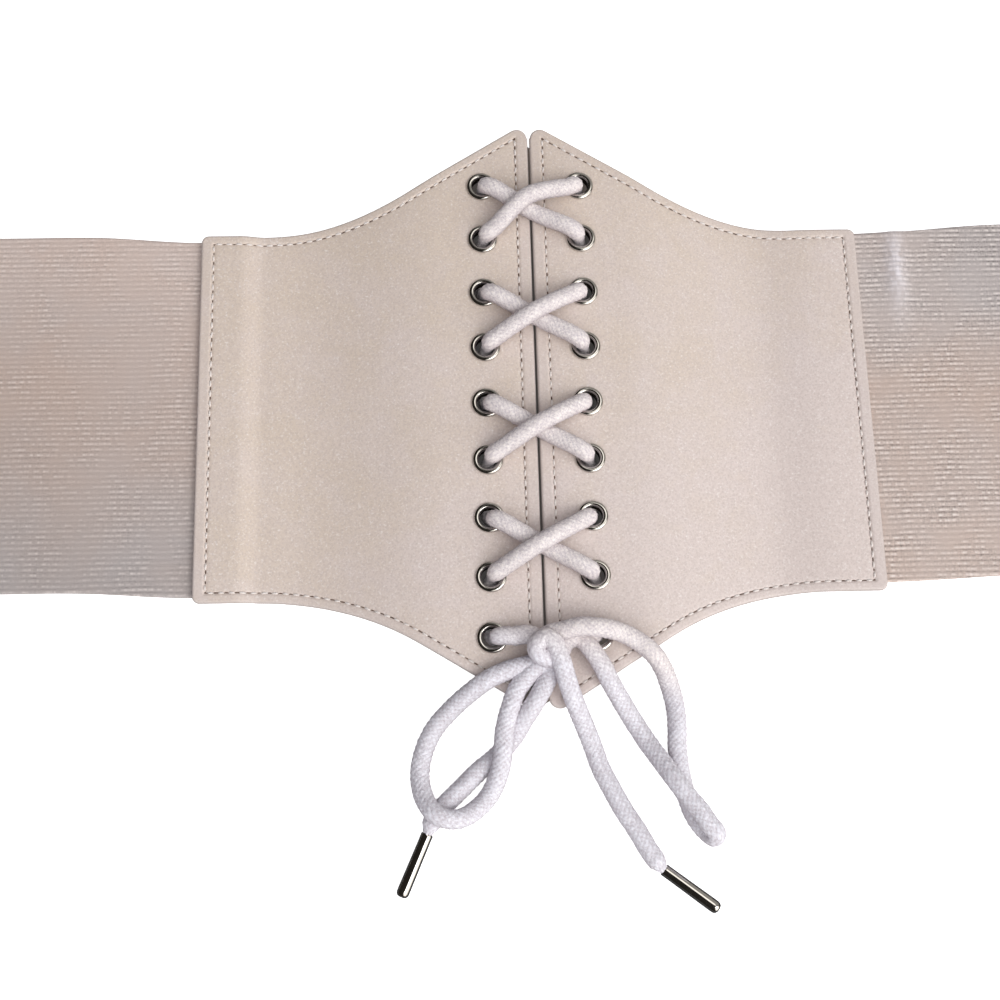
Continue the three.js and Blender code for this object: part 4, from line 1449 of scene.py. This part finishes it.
class BELT_OT_free_cords(bpy.types.Operator):
    """Ties the two free ends of the lace into a bow with metal aglets"""
    bl_idname = "belt.free_cords"
    bl_label = "Bow"

    def execute(self, context):
        settings = context.scene.belt_lace
        left_route = STRAND_LEFT + KNOT_LEFT_ENTRY + LOOP_LEFT + KNOT_OVER_TOP + END_RIGHT
        right_route = STRAND_RIGHT + KNOT_TURN + LOOP_RIGHT + KNOT_RETURN + END_LEFT
        cords = (
            ("left", left_route, "right", ("strand_left", "loop_left", "lace_end_right", "bow_knot")),
            ("right", right_route, "left", ("strand_right", "loop_right", "lace_end_left")),
        )
        for name, route, end_side, nodes in cords:
            aglet, seat, heading = make_aglet(end_side, route[-1])
            inside = seat + heading * SLEEVE_DEPTH
            path = smooth_path(route + [tuple(seat), tuple(inside)], CORD_STEP)
            left_over = np.linalg.norm(path - path[-1], axis=1)
            passed = np.linalg.norm(path - path[0], axis=1)
            radii = CRIMPED_RADIUS + (CORD_RADIUS - CRIMPED_RADIUS) * ease(left_over, 1.0 * MM, 5.5 * MM)
            radii -= JOINT_TAPER * (1 - ease(passed, 0, 3 * MM))
            path[:, 2] = np.maximum(path[:, 2], radii + 0.15 * MM)
            cord = braided_tube(f"bow_cord_{name}", path, radii, settings, 44)
            dress(cord, "cotton", *nodes)
        return {"FINISHED"}


class BELT_OT_lacing(bpy.types.Operator):
    """Threads the lace through all of the eyelets"""
    bl_idname = "belt.lacing"
    bl_label = "Lacing"

    def execute(self, context):
        route = lacing_half(1)[::-1] + lacing_half(-1)[1:]
        path = smooth_path(route, LACING_STEP)
        piece = braided_tube("lacing_cord", path, lacing_radii(path), context.scene.belt_lace, 36)
        dress(piece, "cotton", "lacing")
        return {"FINISHED"}


class BELT_OT_panels(bpy.types.Operator):
    """Cuts and sews the two leather panels"""
    bl_idname = "belt.panels"
    bl_label = "Panels"

    def execute(self, context):
        settings = context.scene.belt_leather
        extent = (INNER_EDGE - EDGE_SWELL, OUTER_EDGE)
        edges = (panel_edge, lambda distance: -panel_edge(distance) - FRONT_DROP)
        insets = (settings.edge_inset, settings.middle_inset, settings.side_inset)
        hole_radius = BORE_RADIUS + 0.7 * MM
        for name, side in (("left", -1), ("right", 1)):
            holes = []
            for row in range(1, EYELET_ROWS + 1):
                x, y = eyelet_middle(f"eyelet_{name}_{row}")
                holes.append((abs(x), y, hole_radius))
            run = STEP_RUNS[name]

            def underside(distance, run=run):
                return panel_level(distance, STEP_END + STEP_RUN - run, STEP_END)

            def face(distance, run=run):
                return panel_level(distance, STEP_END + STEP_RUN - run, STEP_END + STEP_RUN) + PANEL_WALL

            panel = leather_wall(
                f"leather_panel_{name}", side, extent, edges, (underside, face), insets, holes,
                1.15 * MM, settings)
            panel.data.materials.append(finish_named("pearl_leather", leather_finish, settings))
            dress(panel, "leather", f"panel_{name}")
            declare_leather(extent, edges)
            groove = settings.groove_depth
            faces_up = (
                (lambda distance, face=face: face(distance) - groove, 1),
                (lambda distance, underside=underside: underside(distance) + groove + 0.08 * MM, -1))
            runs = seam_runs(side, extent, edges, insets)
            stitch_piece(f"panel_stitches_{name}", runs, faces_up, settings)
        return {"FINISHED"}


class BELT_OT_eyelets(bpy.types.Operator):
    """Sets a metal eyelet in each hole of the panels"""
    bl_idname = "belt.eyelets"
    bl_label = "Eyelets"

    def execute(self, context):
        pattern = turned_piece("eyelet_pattern", eyelet_section(), 56)
        pattern.data.materials.append(
            finish_named("polished_nickel", metal_finish, context.scene.belt_metal))
        places = read_places(pattern)
        inside = np.hypot(places[:, 0], places[:, 1]) < BORE_RADIUS + 0.2 * MM
        # Marks the inside of the bore, which gets painted shade.
        store_values(pattern, "barrel", inside * (places[:, 2] < FLANGE_TOP - 0.7 * MM))
        for name in ("left", "right"):
            for row in range(1, EYELET_ROWS + 1):
                node = f"eyelet_{name}_{row}"
                x, y = eyelet_middle(node)
                ring = bpy.data.objects.new(f"metal_{node}", pattern.data.copy())
                context.scene.collection.objects.link(ring)
                ring.data.transform(Matrix.Translation((x, y, 0)))
                dress(ring, "nickel", node)
        bpy.data.objects.remove(pattern)
        return {"FINISHED"}


class BELT_OT_elastic(bpy.types.Operator):
    """Weaves the two ribbed elastic bands"""
    bl_idname = "belt.elastic"
    bl_label = "Elastic"

    def execute(self, context):
        settings = context.scene.belt_elastic
        left, right = ELASTIC_LOW[0], ELASTIC_HIGH[0]
        hem = np.array([0, 0.12, 0.3, 0.6]) * MM
        lines = np.concatenate([
            hem - ELASTIC_HALF, np.linspace(1.2 * MM - ELASTIC_HALF, ELASTIC_HALF - 1.2 * MM, 100),
            ELASTIC_HALF - hem[::-1]])
        distances = np.linspace(left, right, 170)
        for name, side in (("left", -1), ("right", 1)):
            band, column, row = grid_piece(f"elastic_band_{name}", len(distances), len(lines))
            distance = distances[column]
            across = lines[row]
            height = elastic_middle(distance) + self.drift(side, distance, across) + across
            write_places(band, np.stack([distance, height, np.zeros_like(height)], axis=1))
            thicken(band, ELASTIC_TOP)
            places = read_places(band)
            half = len(places) // 2
            edge = ELASTIC_HALF - np.abs(across)
            taper = np.sqrt(np.clip(edge / (0.45 * MM), 0.06, 1))
            shown = ease(distance, OUTER_EDGE - 2 * MM, OUTER_EDGE + 12 * MM)
            shown = shown * (1 - ease(distance, TAB_INNER - 14 * MM, TAB_INNER))
            lift = self.lift(side, distance, across) * shown
            middle = ELASTIC_TOP / 2 + 0.05 * MM
            half_wall = ELASTIC_TOP / 2 - 0.03 * MM
            places[:half, 2] = middle + lift + taper * half_wall
            places[half:, 2] = middle + lift - taper * half_wall
            places[:, 0] *= side
            write_places(band, places)
            if side < 0:
                band.data.flip_normals()
            store_uv(band, np.tile(side * distance + 1, 2), np.tile(height + 1, 2))
            # Painted highlight along the ridge; only the right band has one.
            painted_glint_mask = self.ridge(distance, across) if side > 0 else np.zeros_like(distance)
            store_values(band, "painted_glint_mask", np.tile(painted_glint_mask, 2))
            store_values(band, "bold", np.full(2 * half, 0.85 if side > 0 else 0.42))
            store_values(band, "grey", np.tile(self.grey(side, distance, across), 2))
            store_values(band, "fade", np.tile(self.fade(side, distance, across), 2))
            band.data.materials.append(finish_named("woven_elastic", elastic_finish, settings))
            take_up(band)
            bpy.ops.object.shade_smooth()
            dress(band, "elastic", f"elastic_{name}")
        return {"FINISHED"}

    def drift(self, side, distance, across):
        """How far the soft band has slipped up or down from its drawn place."""
        if side < 0:
            return -0.7 * MM * (1 - ease(distance, 118 * MM, 150 * MM))
        slipped = 1.3 * MM * ease(distance, 128 * MM, 178 * MM) * (1 - ease(distance, 200 * MM, 280 * MM))
        return slipped * (0.5 + 0.5 * across / ELASTIC_HALF)

    def fade(self, side, distance, across):
        """Painted light and shade: the left band darkens to its lower end, the right one to its upper
        end.
        """
        up = across / ELASTIC_HALF
        out = ease(distance, OUTER_EDGE, OUTER_EDGE + 70 * MM)
        if side < 0:
            return 0.45 + 0.22 * up - 0.1 * out + 0.12 * ease(up, 0.4, 1)
        near_top = (1 - out) * ease(up, 0.1, 1)
        return 0.5 - 0.02 * up - 0.14 * out * ease(up, 0.1, 1) + 0.05 * ease(-up, 0, 1) + 0.07 * near_top

    def grey(self, side, distance, across):
        """Where the band looks greyer: along its lower edge, and by the right band's upper end."""
        up = across / ELASTIC_HALF
        if side < 0:
            return 0.75 * ease(-up, 0.15, 1) + 0.15 * ease(up, 0.4, 1)
        out = ease(distance, OUTER_EDGE, OUTER_EDGE + 60 * MM)
        return (0.65 + 0.3 * out) * ease(up, 0, 0.8)

    def ridge(self, distance, across):
        """One short ridge that stands up beside the right panel."""
        return np.exp(-((distance - 129 * MM) / (3.2 * MM)) ** 2 - ((across - 50 * MM) / (15 * MM)) ** 2)

    def lift(self, side, distance, across):
        """How far the band stands up from the surface: slight waves and one ridge."""
        waves = 0.5 * MM * (1 + soft_waves(distance, across, 20 + side, 60 * MM))
        if side < 0:
            return waves
        return waves + 1.3 * MM * self.ridge(distance, across)


class BELT_OT_end_tabs(bpy.types.Operator):
    """Cuts and sews the two leather end tabs"""
    bl_idname = "belt.end_tabs"
    bl_label = "End tabs"

    def execute(self, context):
        settings = context.scene.belt_leather
        middle = float(elastic_middle(TAB_INNER))
        extent = (TAB_INNER, TAB_OUTER)
        edges = (
            lambda distance: middle + tab_half_height(distance),
            lambda distance: middle - tab_half_height(distance))
        insets = (settings.edge_inset, settings.edge_inset, settings.edge_inset)
        strip_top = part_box("closure_hook_strip")[1][2] + CLEARANCE
        clear = ELASTIC_HIGH[0] + CLEARANCE
        for name, side, outer in (("left", -1, strip_top), ("right", 1, 0)):

            def underside(distance, outer=outer):
                step = ease(distance, clear, clear + STEP_RUN)
                return OVER_ELASTIC + (outer - OVER_ELASTIC) * step

            def face(distance, underside=underside):
                return underside(distance) + PANEL_WALL

            tab = leather_wall(
                f"leather_tab_{name}", side, extent, edges, (underside, face), insets, [],
                1.2 * MM, settings)
            tab.data.materials.append(finish_named("pearl_leather", leather_finish, settings))
            dress(tab, "leather", f"end_tab_{name}")
            declare_leather(extent, edges)
            groove = settings.groove_depth

            def seam_bed(distance, face=face, groove=groove):
                return face(distance) - groove

            runs = seam_runs(side, extent, edges, insets)
            stitch_piece(f"tab_stitches_{name}", runs, ((seam_bed, 1),), settings)
        return {"FINISHED"}


class BELT_OT_closure(bpy.types.Operator):
    """Makes the hook strip and the loop strip of the closure"""
    bl_idname = "belt.closure"
    bl_label = "Closure"

    def execute(self, context):
        self.make_strip("hook", -1, 1.5 * MM)
        self.make_strip("loop", 1, 1.25 * MM)
        return {"FINISHED"}

    def make_strip(self, kind, upwards, spacing):
        """A woven tape with rows of small stiff hooks, or of soft loops that lean all ways."""
        node = f"closure_{kind}_strip"
        low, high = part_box(node)
        tape = 0.55 * MM
        tucked = 0.25 * MM
        back = high[2] + tucked if upwards < 0 else low[2] - tucked
        front = back + upwards * (tape + tucked)
        reach = abs((low[2] if upwards < 0 else high[2]) - front) - 0.05 * MM
        strip = self.make_tape(f"fastener_{kind}_strip", low, high, min(back, front), max(back, front))
        columns = np.arange(low[0] + spacing, high[0] - spacing, spacing)
        rows = np.arange(low[1] + spacing, high[1] - spacing, spacing)
        feet = np.array([(x, y) for x in columns for y in rows])
        draw = np.random.default_rng(31)
        feet = feet + draw.normal(0, 0.08 * MM, feet.shape)
        if kind == "hook":
            turns = draw.normal(0, 0.3, len(feet))
            sizes = np.full(len(feet), reach)
            sweep, width, thick = 0.78, 0.5 * MM, 0.13 * MM
        else:
            turns = draw.uniform(0, math.pi, len(feet))
            sizes = reach * draw.uniform(0.6, 1, len(feet))
            sweep, width, thick = 1.0, 0.8 * MM, 0.09 * MM
        ball, ball_faces = ball_template(1)
        arc = np.pi * sweep * (ball[:, 0] + 1) / 2
        stout = thick / np.sqrt(np.maximum(1 - ball[:, 0] ** 2, 0.35))
        template = np.stack([
            width * (1 - np.cos(arc)) / 2 - stout * ball[:, 2] * np.cos(arc), stout * ball[:, 1],
            reach * np.sin(arc) + stout * ball[:, 2] * np.sin(arc)], axis=1)
        flat_x, flat_y = turned(template[:, 0], template[:, 1], turns[:, None])
        level = front + upwards * template[:, 2] * (sizes / reach)[:, None]
        places = np.stack([feet[:, :1] + flat_x, feet[:, 1:] + flat_y, level], axis=2)
        faces = ball_faces[None] + (np.arange(len(feet)) * len(template))[:, None, None]
        pile = mesh_piece(f"{kind}_pile", places.reshape(-1, 3), faces.reshape(-1, 4), [
            finish_named("fastener_tape", pile_finish)])
        face_outwards(pile)
        take_up(strip)
        pile.select_set(True)
        bpy.ops.object.join()
        dress(strip, "pile", node)

    def make_tape(self, name, low, high, bottom, top):
        """The strip's flat backing, with round corners."""
        deselect_all()
        size = (high[0] - low[0], high[1] - low[1], top - bottom)
        middle = ((low[0] + high[0]) / 2, (low[1] + high[1]) / 2, (bottom + top) / 2)
        bpy.ops.mesh.primitive_cube_add(size=1)
        tape = bpy.context.object
        tape.name = name
        tape.data.name = name
        write_places(tape, read_places(tape) * size + middle)
        ends = np.empty(len(tape.data.edges) * 2, int)
        tape.data.edges.foreach_get("vertices", ends)
        first, second = read_places(tape)[ends.reshape(-1, 2)].transpose(1, 0, 2)
        upright = np.abs(first - second)[:, :2].sum(axis=1) < 1e-6
        edit_chosen(tape, "EDGE", upright)
        bpy.ops.mesh.bevel(offset=CORNER_ROUND, segments=6)
        bpy.ops.object.mode_set(mode="OBJECT")
        tape.data.materials.append(finish_named("fastener_tape", pile_finish))
        bpy.ops.object.shade_smooth_by_angle(angle=math.radians(40))
        return tape


class BELT_PT_workshop(bpy.types.Panel):
    """Lists the belt's pieces in the sidebar"""
    bl_idname = "BELT_PT_workshop"
    bl_label = "Corset belt"
    bl_space_type = "VIEW_3D"
    bl_region_type = "UI"
    bl_category = "Belt"

    def draw(self, context):
        for maker in OPERATORS:
            self.layout.operator(maker.bl_idname)
        for name in SETTINGS:
            settings = getattr(context.scene, name)
            box = self.layout.box()
            for key in settings.__annotations__:
                box.prop(settings, key)


OPERATORS = (
    BELT_OT_studio, BELT_OT_free_cords, BELT_OT_lacing, BELT_OT_panels, BELT_OT_eyelets,
    BELT_OT_elastic, BELT_OT_end_tabs, BELT_OT_closure,
)


def register():
    """Registers the settings, operators and panel."""
    for name, group in SETTINGS.items():
        bpy.utils.register_class(group)
        setattr(bpy.types.Scene, name, bpy.props.PointerProperty(type=group))
    for maker in (*OPERATORS, BELT_PT_workshop):
        bpy.utils.register_class(maker)


def unregister():
    """Takes the panel, operators and settings out again."""
    for maker in (BELT_PT_workshop, *reversed(OPERATORS)):
        bpy.utils.unregister_class(maker)
    for name, group in SETTINGS.items():
        delattr(bpy.types.Scene, name)
        bpy.utils.unregister_class(group)


def main():
    """Makes the whole belt."""
    register()
    bpy.ops.belt.studio()
    bpy.ops.belt.free_cords()
    bpy.ops.belt.lacing()
    bpy.ops.belt.panels()
    bpy.ops.belt.eyelets()
    bpy.ops.belt.elastic()
    bpy.ops.belt.end_tabs()
    bpy.ops.belt.closure()


if __name__ == "__main__":
    main()
